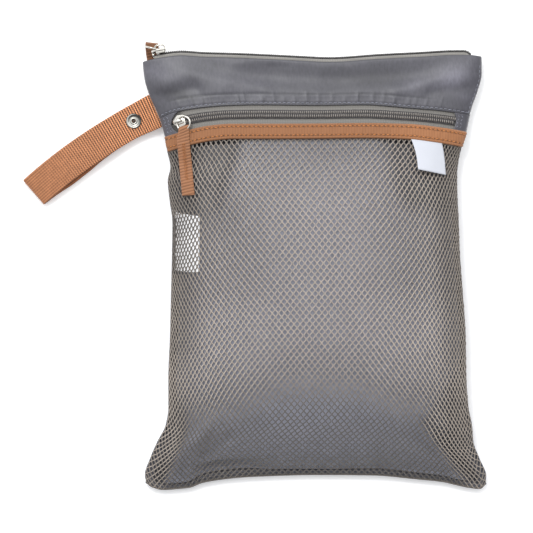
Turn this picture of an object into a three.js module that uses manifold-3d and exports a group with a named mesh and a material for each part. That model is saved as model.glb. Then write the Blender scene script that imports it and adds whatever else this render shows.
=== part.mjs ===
// A zipped cloth bag for damp things, lying on its back: a padded-out pouch of two cloth panels, a smooth
// yoke across the top of its front, a zipped pocket of open net below that, and a webbing wrist strap that
// snaps to itself. Millimetres, +Z up; +Y points to the bag's top zip and +X to its right.

import * as THREE from "three";
import { mergeVertices } from "three/addons/utils/BufferGeometryUtils.js";
import Module from "manifold-3d";

const wasm = await Module();
wasm.setup();

// The bag's main sizes.
const BAG_WIDTH = 266; // across the two top corners
const PANEL_HEIGHT = 334; // from a top corner to a bottom corner
const BAG_DEPTH = 34; // at the fullest place, lying down
const CLOTH = 1; // a wall of cloth
const LAYER_GAP = 0.3; // between layers of cloth
const SEAM_GAP = 0.3; // between the front's rim and the back's rim
const PANEL_EASE = 6; // how far past a zip's tape it takes to come back up
const POCKET_EASE = 25; // how far below the band the net takes to stand off it
const PANEL_SINK = 0.8; // the inner front panel's outer face, below the cloth that covers it
const RIM_STACK = 5.2; // room between front and back that the inner front panel needs

// The yoke, the pocket's zip and the band that binds the net's top edge.
const YOKE_HEIGHT = 35; // from the top corners' line to the yoke's hem, at the middle
const ZIP_SHOW = 14.5; // what shows of the zip between the yoke's hem and the band
const BAND_WIDTH = 12.3;
const BAND_LIFT = 0.5; // its underside, above the yoke's and the net's outer face
const NET_TUCK = 3.5; // the net's top edge under the band
const TAPE_TUCK = 4; // a zip tape's edge under the yoke or the band
const END_TUCK = 1.8; // its end under a leg of the yoke
const TAPE = 0.8; // a zip tape's thickness
const TAPE_SINK = 0.5; // its outer face, below the cloth that covers its edges
const TAPE_SLIT = 2; // between a zip's two tapes, under its chain
const CHAIN_WIDTH = 6;
const CHAIN_THICK = 1.8;
const WINDOW_LEFT = 8; // from the left seam to the pocket zip's opening in the yoke
const WINDOW_RIGHT = 11; // from the right seam to it
const ZIP_CENTRE = 7.1; // from the yoke's hem down to the chain's middle

// The top zip, which joins the two top hems in a low ridge.
const RIDGE_TUCK = 5; // a tape's edge below the hem
const RIDGE_RISE = 1.9; // from the hem out to the tapes' outer face
const RIDGE_INSET_LEFT = 9.5; // from the left top corner to the tapes' end
const RIDGE_INSET_RIGHT = 12;
const TOP_SLIDER_INSET = 13; // from the left top corner to the slider's middle

// The net and its coarse lattice of gaps.
const NET_COLUMNS = 9;
const NET_ROWS = 12;
const NET_STRAND = 3.4; // a strand's width
const NET_BORDER = 12; // solid edge beside the seams
const NET_HEAD = 14; // solid edge under the band and just below it
const NET_SLACK = 3; // how far the net stands off the panel beside the seams

// The sliders and their rings.
const SLIDER_LENGTH = 9.6;
const SLIDER_NOSE = 9.6; // its width where the zip opens
const SLIDER_TAIL = 8.4; // its width over the closed chain
const NOSE_CORNER = 2; // what is cut off each corner of its nose
const TAIL_CORNER = 0.8;
const PLATE = 1; // its upper plate
const UNDER_PLATE = 0.8;
const UNDER_WIDTH = 5.8;
const FLANGE = 0.8;
const POST = 1; // the divider between the two tapes
const BRIDGE_LENGTH = 7.2;
const BRIDGE_WIDTH = 2.2;
const BRIDGE_BAR = 1.1;
const BRIDGE_AT = -1.2; // its middle, from the slider's middle towards the closed chain
const RING_RADIUS = 5.4; // to the middle of the wire
const RING_WIRE = 1.5;
const METAL_GAP = 0.3;
const POCKET_SLIDER_INSET = 15.2; // from the left seam to the slider's middle
const POCKET_RING_TURN = -28; // degrees from the slider's tail round to where the ring lies
const TOP_RING_TURN = 160;

// The ribbon tabs on the rings.
const RIBBON_WIDTH = 10.3;
const POCKET_FOLD_WIDTH = 6; // bunched inside the pocket's ring
const TOP_FOLD_WIDTH = 5;
const RIBBON = 0.8;
const TAB_LIFT = 0.7; // the pocket's tab, above the net it lies on
const POCKET_FOLD_AT = 3.6; // from the ring's middle to where the tab starts to turn back
const FOLD_REACH = 1; // how far a tab's fold reaches past there
const POCKET_TAB_LENGTH = 54;
const POCKET_TAB_LEAN = 4; // degrees from straight down the bag, towards its right
const TOP_TAB_LENGTH = 48;
const TOP_TAB_LEAN = 24;

// The wrist strap and its snap.
const STRAP_WIDTH = 25.4;
const STRAP_LENGTH = 117; // from the side seam to the far fold, along the strap
const STRAP_THICK = 1.6;
const STRAP_HEADING = 207; // degrees anticlockwise from +X at the seam
const STRAP_TURN = 14; // how much it has turned by the far fold
const STRAP_FOLD = 1.9; // the far fold's radius, to the middle of the webbing
const STRAP_DOWN = 0.119; // where it leaves the seam, as a share of the panel's height
const STRAP_FREE_END = 7; // from the seam to the webbing's free end
const SNAP_AT = 18.5; // from the seam to the snap
const SNAP_RADIUS = 6;
const SNAP_HOLE = 1.5;
const SNAP_FLANGE = 1.1;
const SNAP_SEAT = 1.9; // what the snap's two halves hold between the layers

// The two sewn labels.
const TAG_WIDTH = 24;
const TAG_LENGTH = 26.5;
const TAG_INSET = 20.5; // from the right seam
const CARE_REACH = 22; // from the left seam to the care label's far edge
const CARE_LENGTH = 45;
const CARE_LIFT = 0.6; // above the front panel
const CARE_DOWN = 121; // from the top corners' line
const LABEL = 0.6;

// The outline, in shares of BAG_WIDTH either side of the middle.
const OUTLINE = [
  { down: 0, left: -0.5, right: 0.5 },
  { down: 0.04, left: -0.496, right: 0.498 },
  { down: 0.08, left: -0.484, right: 0.485 },
  { down: 0.12, left: -0.459, right: 0.468 },
  { down: 0.18, left: -0.438, right: 0.452 },
  { down: 0.21, left: -0.432, right: 0.441 },
  { down: 0.25, left: -0.422, right: 0.433 },
  { down: 0.28, left: -0.429, right: 0.427 },
  { down: 0.33, left: -0.422, right: 0.428 },
  { down: 0.38, left: -0.414, right: 0.432 },
  { down: 0.45, left: -0.417, right: 0.437 },
  { down: 0.55, left: -0.42, right: 0.446 },
  { down: 0.65, left: -0.423, right: 0.452 },
  { down: 0.75, left: -0.428, right: 0.455 },
  { down: 0.82, left: -0.428, right: 0.464 },
  { down: 0.86, left: -0.434, right: 0.47 },
  { down: 0.9, left: -0.457, right: 0.478 },
  { down: 0.94, left: -0.479, right: 0.496 },
  { down: 0.98, left: -0.495, right: 0.513 },
  { down: 1, left: -0.492, right: 0.515 },
];

// How the top hem and the bottom seam rise and fall, in shares of PANEL_HEIGHT.
const TOP_HEM = [
  { across: -1, rise: 0 },
  { across: -0.88, rise: 0.0095 },
  { across: -0.77, rise: 0.014 },
  { across: -0.64, rise: 0.0108 },
  { across: -0.43, rise: 0.0083 },
  { across: -0.07, rise: 0.0036 },
  { across: 0.1, rise: 0.0012 },
  { across: 0.4, rise: 0.006 },
  { across: 0.64, rise: 0.0108 },
  { across: 0.82, rise: 0.0153 },
  { across: 0.92, rise: 0.0165 },
  { across: 1, rise: 0.0024 },
];
const BOTTOM_SEAM = [
  { across: -1, rise: 0.0024 },
  { across: -0.965, rise: -0.008 },
  { across: -0.9, rise: -0.0141 },
  { across: -0.82, rise: -0.012 },
  { across: -0.74, rise: -0.0084 },
  { across: -0.67, rise: 0.0024 },
  { across: -0.53, rise: 0.0108 },
  { across: -0.385, rise: 0.0153 },
  { across: 0, rise: 0.019 },
  { across: 0.325, rise: 0.0165 },
  { across: 0.61, rise: 0.006 },
  { across: 0.75, rise: 0.0012 },
  { across: 0.82, rise: -0.006 },
  { across: 0.893, rise: -0.0108 },
  { across: 0.965, rise: -0.012 },
  { across: 1, rise: 0 },
];

// How far the yoke's hem and the band sag below their middle, in shares of PANEL_HEIGHT.
const POCKET_LINES = [
  { across: -1, hem: 0.025, band: 0.036 },
  { across: -0.9, hem: 0.0144, band: 0.027 },
  { across: -0.8, hem: 0.009, band: 0.0171 },
  { across: -0.7, hem: 0.0048, band: 0.009 },
  { across: -0.55, hem: 0.0006, band: 0.0027 },
  { across: -0.35, hem: -0.0012, band: 0.0006 },
  { across: 0, hem: 0, band: 0 },
  { across: 0.3, hem: -0.0018, band: -0.0006 },
  { across: 0.6, hem: 0.0036, band: 0.006 },
  { across: 0.8, hem: 0.0081, band: 0.0132 },
  { across: 1, hem: 0.0156, band: 0.0222 },
];

// The padded shape down the bag's length: heights above the floor of the front, the back and the side
// seams, in shares of BAG_DEPTH, and how square the front's shoulders are.
const PUFF = [
  { down: 0, front: 0.46, back: 0.08, seam: 0.25, shoulder: 14 },
  { down: 0.04, front: 0.49, back: 0.08, seam: 0.25, shoulder: 8 },
  { down: 0.12, front: 0.6, back: 0.06, seam: 0.26, shoulder: 5 },
  { down: 0.18, front: 0.7, back: 0.02, seam: 0.28, shoulder: 4.4 },
  { down: 0.3, front: 0.86, back: 0, seam: 0.32, shoulder: 3.8 },
  { down: 0.45, front: 0.96, back: 0, seam: 0.36, shoulder: 3.6 },
  { down: 0.6, front: 1, back: 0, seam: 0.37, shoulder: 3.6 },
  { down: 0.75, front: 0.98, back: 0, seam: 0.36, shoulder: 3.6 },
  { down: 0.84, front: 0.9, back: 0, seam: 0.32, shoulder: 3.3 },
  { down: 0.91, front: 0.74, back: 0, seam: 0.26, shoulder: 2.9 },
  { down: 0.955, front: 0.55, back: 0.01, seam: 0.2, shoulder: 2.6 },
  { down: 0.985, front: 0.33, back: 0.05, seam: 0.16, shoulder: 2.4 },
  { down: 1, front: 0.14, back: 0.14, seam: 0.14, shoulder: 2.4 },
];
const SIDE_ROUND = 0.5;
const BACK_SHOULDER = 9;
const BACK_FLAT = 1.04; // more than 1, so that the middle of the back is flat

// Soft folds and dents of the front, each a ridge between two places: its half width as a share of
// PANEL_HEIGHT and its height as a share of BAG_DEPTH.
const FOLDS = [
  { fromAcross: -0.95, fromDown: 0.085, toAcross: -0.72, toDown: 0.075, spread: 0.018, lift: -0.05 },
  { fromAcross: 0.72, fromDown: 0.085, toAcross: 0.95, toDown: 0.07, spread: 0.018, lift: -0.05 },
  { fromAcross: 0.5, fromDown: 0.08, toAcross: 0.98, toDown: 0.02, spread: 0.02, lift: 0.035 },
  { fromAcross: -0.85, fromDown: 0.03, toAcross: -0.3, toDown: 0.07, spread: 0.02, lift: 0.03 },
  { fromAcross: -0.97, fromDown: 0.95, toAcross: -0.72, toDown: 0.86, spread: 0.022, lift: 0.04 },
  { fromAcross: -0.8, fromDown: 0.97, toAcross: -0.55, toDown: 0.9, spread: 0.02, lift: -0.04 },
  { fromAcross: 0.97, fromDown: 0.95, toAcross: 0.72, toDown: 0.84, spread: 0.022, lift: 0.04 },
  { fromAcross: 0.85, fromDown: 0.97, toAcross: 0.6, toDown: 0.9, spread: 0.02, lift: -0.04 },
];

// The strap's two runs, from the seam out to the far fold and back to the free end: the distance out as a
// share of STRAP_LENGTH, and the height of the webbing's middle in shares of BAG_DEPTH.
const STRAP_UPPER = [
  { out: 0, height: 0.25 },
  { out: 0.05, height: 0.235 },
  { out: 0.1, height: 0.207 },
  { out: 0.22, height: 0.207 },
  { out: 0.33, height: 0.225 },
  { out: 0.5, height: 0.262 },
  { out: 0.7, height: 0.268 },
  { out: 0.85, height: 0.225 },
  { out: 1, height: 0.155 },
];
const STRAP_LOWER = [
  { out: 0, height: 0.08, shift: 0.05 },
  { out: 0.08, height: 0.077, shift: 0.04 },
  { out: 0.24, height: 0.077, shift: 0.03 },
  { out: 0.36, height: 0.04, shift: 0.04 },
  { out: 0.5, height: 0.0236, shift: 0.07 },
  { out: 0.75, height: 0.0236, shift: 0.07 },
  { out: 0.9, height: 0.0325, shift: 0.02 },
  { out: 1, height: 0.0432, shift: 0 },
];

// Colours, roughness and metalness.
const finish = (color, roughness, metalness = 0) =>
  new THREE.MeshStandardMaterial({ color, roughness, metalness });
const GREY_CLOTH = finish(0x74747c, 0.6);
const NET_YARN = finish(0x9a9088, 0.7);
const ZIP_TAPE = finish(0x8d8982, 0.8);
const ZIP_COIL = finish(0x5d5955, 0.5);
const BROWN_BAND = finish(0xb07850, 0.7);
const BROWN_RIBBON = finish(0xab7449, 0.75);
const BROWN_WEBBING = finish(0xb4774c, 0.8);
const NICKEL = finish(0xd4d4d0, 0.25, 1);
const WHITE_LABEL = finish(0xe8eaf0, 0.7);

const { lerp, smoothstep, clamp } = THREE.MathUtils;
const X_AXIS = new THREE.Vector3(1, 0, 0);
const Z_AXIS = new THREE.Vector3(0, 0, 1);
const bag = new THREE.Group();

function add(name, geometry, material, frame) {
  const mesh = new THREE.Mesh(geometry, material);
  mesh.name = name;
  if (frame) mesh.applyMatrix4(frame);
  bag.add(mesh);
}

// Reads a table's column between its rows, along a smooth curve that doesn't overshoot.
function read(table, key, column, at) {
  const last = table.length - 1;
  if (at <= table[0][key]) return table[0][column];
  if (at >= table[last][key]) return table[last][column];
  const rise = (k) =>
    (table[k + 1][column] - table[k][column]) / (table[k + 1][key] - table[k][key]);
  const slope = (k) => {
    if (k === 0) return rise(0);
    if (k === last) return rise(last - 1);
    const [before, after] = [rise(k - 1), rise(k)];
    return before * after <= 0 ? 0 : (2 * before * after) / (before + after);
  };
  let i = 0;
  while (at > table[i + 1][key]) i += 1;
  const span = table[i + 1][key] - table[i][key];
  const t = (at - table[i][key]) / span;
  return (
    table[i][column] * (1 + 2 * t) * (1 - t) ** 2 +
    slope(i) * span * t * (1 - t) ** 2 +
    table[i + 1][column] * t * t * (3 - 2 * t) +
    slope(i + 1) * span * t * t * (t - 1)
  );
}

// The bag's two faces, by how far across (-1 to 1) and how far down (0 to 1) a place is.
const seamX = (side, down) => BAG_WIDTH * read(OUTLINE, "down", side, down);
const widthAt = (down) => seamX("right", down) - seamX("left", down);
const topY = (across) => PANEL_HEIGHT * (0.5 + read(TOP_HEM, "across", "rise", across));
const bottomY = (across) => PANEL_HEIGHT * (-0.5 + read(BOTTOM_SEAM, "across", "rise", across));
const planX = (across, down) => lerp(seamX("left", down), seamX("right", down), (across + 1) / 2);
const planY = (across, down) => lerp(topY(across), bottomY(across), down);
const downTo = (across, y) => (topY(across) - y) / (topY(across) - bottomY(across));
const acrossFromLeft = (distance, down) => -1 + (2 * distance) / widthAt(down);
const acrossFromRight = (distance, down) => 1 - (2 * distance) / widthAt(down);
const puff = (column, down) => BAG_DEPTH * read(PUFF, "down", column, down);

function foldHeight(across, down) {
  let height = 0;
  for (const fold of FOLDS) {
    const scale = BAG_WIDTH / 2 / PANEL_HEIGHT;
    const run = [(fold.toAcross - fold.fromAcross) * scale, fold.toDown - fold.fromDown];
    const here = [(across - fold.fromAcross) * scale, down - fold.fromDown];
    const t = clamp((here[0] * run[0] + here[1] * run[1]) / (run[0] ** 2 + run[1] ** 2), 0, 1);
    const off = Math.hypot(here[0] - t * run[0], here[1] - t * run[1]);
    height += BAG_DEPTH * fold.lift * Math.exp(-((off / fold.spread) ** 2));
  }
  return height;
}

function crown(across, shoulder) {
  return Math.max(0, 1 - Math.abs(across) ** shoulder) ** SIDE_ROUND;
}

function frontPlace(across, down) {
  const seam = puff("seam", down);
  const rise = crown(across, read(PUFF, "down", "shoulder", down));
  const fade = rise * (1 - smoothstep(down, 0.97, 1));
  const body = Math.max(puff("front", down) - seam, 0) * rise + foldHeight(across, down) * fade;
  const z = seam + SEAM_GAP / 2 + CLOTH + body;
  return new THREE.Vector3(planX(across, down), planY(across, down), z);
}

function backPlace(across, down) {
  const seam = puff("seam", down);
  const rise = Math.min(BACK_FLAT * crown(across, BACK_SHOULDER), 1);
  const rim = seam - SEAM_GAP / 2 - CLOTH;
  const z = rim - (rim - puff("back", down)) * rise;
  return new THREE.Vector3(planX(across, down), planY(across, down), Math.max(z, 0));
}

// A point of a face, moved along its upward normal but never past the seam into the other face's cloth.
function offset(place, across, down, distance) {
  const step = 0.002;
  const [left, right] = [Math.max(across - step, -1), Math.min(across + step, 1)];
  const [upper, lower] = [Math.max(down - step, 0), Math.min(down + step, 1)];
  const alongX = place(right, down).sub(place(left, down));
  const alongY = place(across, upper).sub(place(across, lower));
  const normal = alongX.cross(alongY).normalize();
  const point = place(across, down).addScaledVector(normal, distance);
  const seam = puff("seam", down);
  const isFront = place === frontPlace;
  return point.setZ(
    isFront ? Math.max(point.z, seam + SEAM_GAP / 2) : Math.min(point.z, seam - SEAM_GAP / 2),
  );
}

// Where the front face is at a point of the plan.
function frontAt(x, y) {
  let across = 0;
  let down = 0.5;
  for (let pass = 0; pass < 12; pass += 1) {
    down = downTo(across, y);
    across = (2 * (x - seamX("left", down))) / widthAt(down) - 1;
  }
  return { across, down };
}

// A closed sheet between two copies of one pattern of points; its faces run anticlockwise seen from outer.
function closedSheet(outer, inner, faces) {
  const count = outer.length;
  const index = [];
  const used = new Set();
  for (const face of faces) {
    face.forEach((a, k) => used.add(`${a} ${face[(k + 1) % face.length]}`));
    for (let k = 1; k < face.length - 1; k += 1) {
      index.push(face[0], face[k], face[k + 1]);
      index.push(count + face[0], count + face[k + 1], count + face[k]);
    }
  }
  for (const edge of used) {
    const [a, b] = edge.split(" ").map(Number);
    if (!used.has(`${b} ${a}`)) index.push(a, count + a, count + b, a, count + b, b);
  }
  const geometry = new THREE.BufferGeometry();
  geometry.setFromPoints([...outer, ...inner]);
  geometry.setIndex(index);
  return geometry;
}

// A rectangular pattern of four-sided faces; keep says which of them are there.
function grid(columns, rows, keep = () => true) {
  const points = rows.flatMap((row) => columns.map((column) => [column, row]));
  const at = (i, j) => j * columns.length + i;
  const faces = [];
  for (let j = 0; j < rows.length - 1; j += 1)
    for (let i = 0; i < columns.length - 1; i += 1)
      if (keep(i, j)) faces.push([at(i, j), at(i, j + 1), at(i + 1, j + 1), at(i + 1, j)]);
  return { points, faces };
}

// Cloth that follows a face of the bag between two distances from it, which may vary from place to place.
function cloth(place, pattern, outerAt, innerAt) {
  const move = (distance) =>
    pattern.points.map(([across, down]) =>
      offset(place, across, down, typeof distance === "number" ? distance : distance(across, down)),
    );
  const seen = new Set(pattern.faces.flat());
  const order = [...seen].sort((a, b) => a - b);
  const renumber = new Map(order.map((old, fresh) => [old, fresh]));
  const [outer, inner] = [move(outerAt), move(innerAt)];
  return closedSheet(
    order.map((k) => outer[k]),
    order.map((k) => inner[k]),
    pattern.faces.map((face) => face.map((k) => renumber.get(k))),
  );
}

// A flat ribbon that follows points; side is the direction across it at each point.
function ribbon(points, sides, widths, thickness) {
  const [outer, inner] = [[], []];
  points.forEach((point, k) => {
    const ahead = points[Math.min(k + 1, points.length - 1)];
    const behind = points[Math.max(k - 1, 0)];
    const up = ahead.clone().sub(behind).cross(sides[k]).normalize();
    for (const hand of [-1, 1]) {
      const edge = point.clone().addScaledVector(sides[k], (hand * widths[k]) / 2);
      outer.push(edge.clone().addScaledVector(up, thickness / 2));
      inner.push(edge.clone().addScaledVector(up, -thickness / 2));
    }
  });
  const rows = points.map((_, k) => k);
  return closedSheet(outer, inner, grid([0, 1], rows).faces);
}

function toSolid(geometry) {
  const bare = (geometry.index ? geometry.toNonIndexed() : geometry.clone())
    .deleteAttribute("normal")
    .deleteAttribute("uv");
  const merged = mergeVertices(bare, 1e-4);
  return new wasm.Manifold(
    new wasm.Mesh({
      numProp: 3,
      vertProperties: merged.attributes.position.array,
      triVerts: new Uint32Array(merged.index.array),
    }),
  );
}

function toGeometry(solid) {
  const mesh = solid.getMesh();
  const geometry = new THREE.BufferGeometry();
  geometry.setAttribute("position", new THREE.BufferAttribute(mesh.vertProperties, 3));
  geometry.setIndex(new THREE.BufferAttribute(mesh.triVerts, 1));
  return geometry;
}

// Where the yoke's hem and the band's edges are, down the bag, at a place across it.
function hemDown(across, below = 0) {
  const sag = PANEL_HEIGHT * read(POCKET_LINES, "across", "hem", across);
  return downTo(across, PANEL_HEIGHT / 2 - YOKE_HEIGHT - sag - below);
}
function bandDown(across, below = 0) {
  const sag = PANEL_HEIGHT * read(POCKET_LINES, "across", "band", across);
  return downTo(across, PANEL_HEIGHT / 2 - YOKE_HEIGHT - ZIP_SHOW - sag - below);
}
const zipDown = (across, below = 0) =>
  lerp(hemDown(across), bandDown(across), ZIP_CENTRE / ZIP_SHOW) + below / PANEL_HEIGHT;

const HALF_ACROSS = [0, 0.2, 0.38, 0.54, 0.67, 0.77, 0.85, 0.91, 0.955, 0.985, 1];
const ACROSS = [...HALF_ACROSS.slice(1).map((a) => -a).reverse(), ...HALF_ACROSS];
const YOKE_SHARES = [0, 0.17, 0.34, 0.5, 0.66, 0.83, 1]; // rows of the yoke, down to its hem
const DOWN = [
  ...YOKE_SHARES.map((share) => (share * YOKE_HEIGHT) / PANEL_HEIGHT),
  ...[0.13, 0.155, 0.18, 0.225, 0.275, 0.33, 0.4, 0.48, 0.56, 0.64, 0.71, 0.77, 0.825, 0.87],
  ...[0.91, 0.94, 0.965, 0.983, 1],
];

const BACK_DOWN = [
  0, 0.03, 0.065, 0.1, 0.14, 0.18, 0.23, 0.3, 0.4, 0.52, 0.64, 0.74, 0.82, 0.87, 0.91, 0.945, 0.975, 1,
];

// The panels.

// How far below the outermost cloth the inner front panel's outer face lies.
function panelDepth(across, down) {
  const below = (down - hemDown(across)) * PANEL_HEIGHT;
  const pastTape = below - ZIP_SHOW - TAPE_TUCK;
  const atHem = 1 - smoothstep(down * PANEL_HEIGHT, RIDGE_TUCK * 1.2, RIDGE_TUCK + PANEL_EASE);
  const atZip =
    smoothstep(below, -TAPE_TUCK - PANEL_EASE, -TAPE_TUCK) * (1 - smoothstep(pastTape, 0, PANEL_EASE * 1.5));
  const beside = smoothstep(Math.abs(across), 0.55, 0.84);
  const inPocket = smoothstep(below, ZIP_SHOW, ZIP_SHOW + POCKET_EASE);
  const atBottom = smoothstep(down, 0.88, 0.96);
  const slack = NET_SLACK * inPocket * Math.max(beside * (1 - 0.4 * Math.sin(Math.PI * down)), atBottom);
  const underTape = TAPE + TAPE_SINK;
  return (
    CLOTH + PANEL_SINK + underTape * Math.max(atHem, atZip) + (UNDER_PLATE + METAL_GAP) * atZip + slack
  );
}

const PANEL_STEADY = 0.7; // its mesh follows the outer cloth's this far across

// How far across the inner front panel reaches before the rim is too thin to hold it.
function panelReach(down) {
  let [near, far] = [0, 1];
  for (let pass = 0; pass < 24; pass += 1) {
    const middle = (near + far) / 2;
    const room = frontPlace(middle, down).z - backPlace(middle, down).z;
    if (room > RIM_STACK + panelDepth(middle, down) * 0.6) near = middle;
    else far = middle;
  }
  return near;
}

function makePanels() {
  add("back_panel", cloth(backPlace, grid(ACROSS, BACK_DOWN), CLOTH, 0), GREY_CLOTH);

  const pattern = grid(ACROSS, DOWN.slice(0, -1));
  pattern.points = pattern.points.map(([across, down]) => {
    const outside = clamp((Math.abs(across) - PANEL_STEADY) / (1 - PANEL_STEADY), 0, 1);
    return [across * lerp(1, panelReach(down), outside), down];
  });
  add(
    "front_panel",
    cloth(
      frontPlace,
      pattern,
      (across, down) => -panelDepth(across, down),
      (across, down) => -panelDepth(across, down) - CLOTH,
    ),
    GREY_CLOTH,
  );
}

// The yoke, with a leg down each side of the pocket zip's opening.
function makeYoke() {
  const yokeDown = YOKE_HEIGHT / PANEL_HEIGHT;
  const left = acrossFromLeft(WINDOW_LEFT, yokeDown);
  const right = acrossFromRight(WINDOW_RIGHT, yokeDown);
  const columns = ACROSS.filter((a) => Math.abs(a - left) > 0.02 && Math.abs(a - right) > 0.02);
  columns.push(left, right);
  columns.sort((a, b) => a - b);
  const shares = [...YOKE_SHARES, 2];
  const lastWhole = YOKE_SHARES.length - 1;
  const isLeg = (i) => columns[i + 1] <= left || columns[i] >= right;
  const pattern = grid(columns, shares, (i, j) => j < lastWhole || isLeg(i));
  pattern.points = pattern.points.map(([across, share]) => [
    across,
    share <= 1 ? share * hemDown(across) : bandDown(across, NET_TUCK - 1),
  ]);
  add("front_yoke", cloth(frontPlace, pattern, 0, -CLOTH), GREY_CLOTH);
}

// The net: rows of six-sided gaps, each row half a gap along from the last, inside a plain border.
function netPattern() {
  const sideBorder = 1 - (2 * NET_BORDER) / BAG_WIDTH;
  const firstDown = NET_HEAD / PANEL_HEIGHT;
  const lastDown = 1 - NET_BORDER / PANEL_HEIGHT;
  const pitch = (2 * sideBorder) / NET_COLUMNS;
  const halfPitches = 2 * NET_COLUMNS;
  const borders = [1, 0.985, 0.955];
  const columns = [
    ...borders.map((a) => -a),
    ...Array.from({ length: halfPitches + 1 }, (_, k) => -sideBorder + (k * pitch) / 2),
    ...borders.reverse(),
  ];
  const rowDepth = (lastDown - firstDown) / NET_ROWS;
  const rows = [
    0,
    ...Array.from({ length: NET_ROWS + 1 }, (_, k) => firstDown + k * rowDepth),
    (1 + lastDown) / 2,
    1,
  ];
  const firstCell = borders.length;
  const firstRow = 1;
  const inCell = (i, j) => {
    const [k, row] = [i - firstCell, j - firstRow];
    const shift = row % 2;
    return row >= 0 && row < NET_ROWS && k >= shift && k < halfPitches - shift;
  };
  const { points, faces } = grid(columns, rows, (i, j) => !inCell(i, j));
  const at = (i, j) => j * columns.length + i;
  const half = NET_STRAND / 2;
  const thinAcross = (2 * half) / BAG_WIDTH;
  const thinDown = half / PANEL_HEIGHT;
  for (let row = 0; row < NET_ROWS; row += 1)
    for (let k = row % 2; k + 2 <= halfPitches - (row % 2); k += 2) {
      const [i, j] = [firstCell + k, firstRow + row];
      const [leftX, midX, rightX] = [columns[i], columns[i + 1], columns[i + 2]];
      const [high, low] = [rows[j], rows[j + 1]];
      const shoulder = (low - high) * 0.3;
      const hole = [
        [leftX + thinAcross, low - shoulder],
        [midX, low - thinDown],
        [rightX - thinAcross, low - shoulder],
        [rightX - thinAcross, high + shoulder],
        [midX, high + thinDown],
        [leftX + thinAcross, high + shoulder],
      ];
      const rim = [at(i, j + 1), at(i + 1, j + 1), at(i + 2, j + 1), at(i + 2, j), at(i + 1, j), at(i, j)];
      const first = points.length;
      points.push(...hole);
      rim.forEach((corner, n) => {
        const next = (n + 1) % rim.length;
        faces.push([corner, rim[next], first + next, first + n]);
      });
    }
  return { points, faces };
}

function makeNet() {
  const pattern = netPattern();
  const top = (across) => bandDown(across, NET_TUCK);
  pattern.points = pattern.points.map(([across, share]) => [across, lerp(top(across), 1, share)]);
  add("pocket_net", cloth(frontPlace, pattern, 0, -CLOTH), NET_YARN);
}

function makeBand() {
  const pattern = grid(ACROSS, [0, BAND_WIDTH / 2, BAND_WIDTH]);
  pattern.points = pattern.points.map(([across, below]) => [across, bandDown(across, below)]);
  add("pocket_band", cloth(frontPlace, pattern, BAND_LIFT + CLOTH, BAND_LIFT), BROWN_BAND);
}

const ZIP_STEPS = 26;
const ZIP_CROWDING = 1.5; // more than 1, so that a zip's steps are finer at its slider's end

// The pocket's zip: two tapes with a slit between them, and the chain that covers the slit.
function makePocketZip() {
  const zipAt = (YOKE_HEIGHT + ZIP_CENTRE) / PANEL_HEIGHT;
  const left = acrossFromLeft(WINDOW_LEFT - END_TUCK, zipAt);
  const right = acrossFromRight(WINDOW_RIGHT - END_TUCK, zipAt);
  const chainEnd = acrossFromRight(WINDOW_RIGHT + 2 * LAYER_GAP, YOKE_HEIGHT / PANEL_HEIGHT);
  const sliderAt = acrossFromLeft(POCKET_SLIDER_INSET, zipAt);
  const spread = (from, to) =>
    Array.from({ length: ZIP_STEPS + 1 }, (_, k) => lerp(from, to, (k / ZIP_STEPS) ** ZIP_CROWDING));
  const between = (near, far) => (across, share) => lerp(near(across), far(across), share);
  const strip = (from, edge, thick, columns) => {
    const pattern = grid(columns, [0, 1]);
    pattern.points = pattern.points.map(([across, share]) => [across, edge(across, share)]);
    return cloth(frontPlace, pattern, from, from - thick);
  };
  const tapeTop = -CLOTH - TAPE_SINK;
  const columns = spread(left, right);
  const upper = between(
    (a) => hemDown(a, -TAPE_TUCK),
    (a) => zipDown(a, -TAPE_SLIT / 2),
  );
  const lower = between(
    (a) => zipDown(a, TAPE_SLIT / 2),
    (a) => bandDown(a, TAPE_TUCK),
  );
  add("pocket_tape_upper", strip(tapeTop, upper, TAPE, columns), ZIP_TAPE);
  add("pocket_tape_lower", strip(tapeTop, lower, TAPE, columns), ZIP_TAPE);

  const chainStart = sliderAt + (2 * (POST * 2 - SLIDER_LENGTH / 4)) / widthAt(zipAt);
  const chain = between(
    (a) => zipDown(a, -CHAIN_WIDTH / 2),
    (a) => zipDown(a, CHAIN_WIDTH / 2),
  );
  const chainTop = tapeTop + LAYER_GAP + CHAIN_THICK;
  add("pocket_zip_chain", strip(chainTop, chain, CHAIN_THICK, spread(chainStart, chainEnd)), ZIP_COIL);
}

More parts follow.
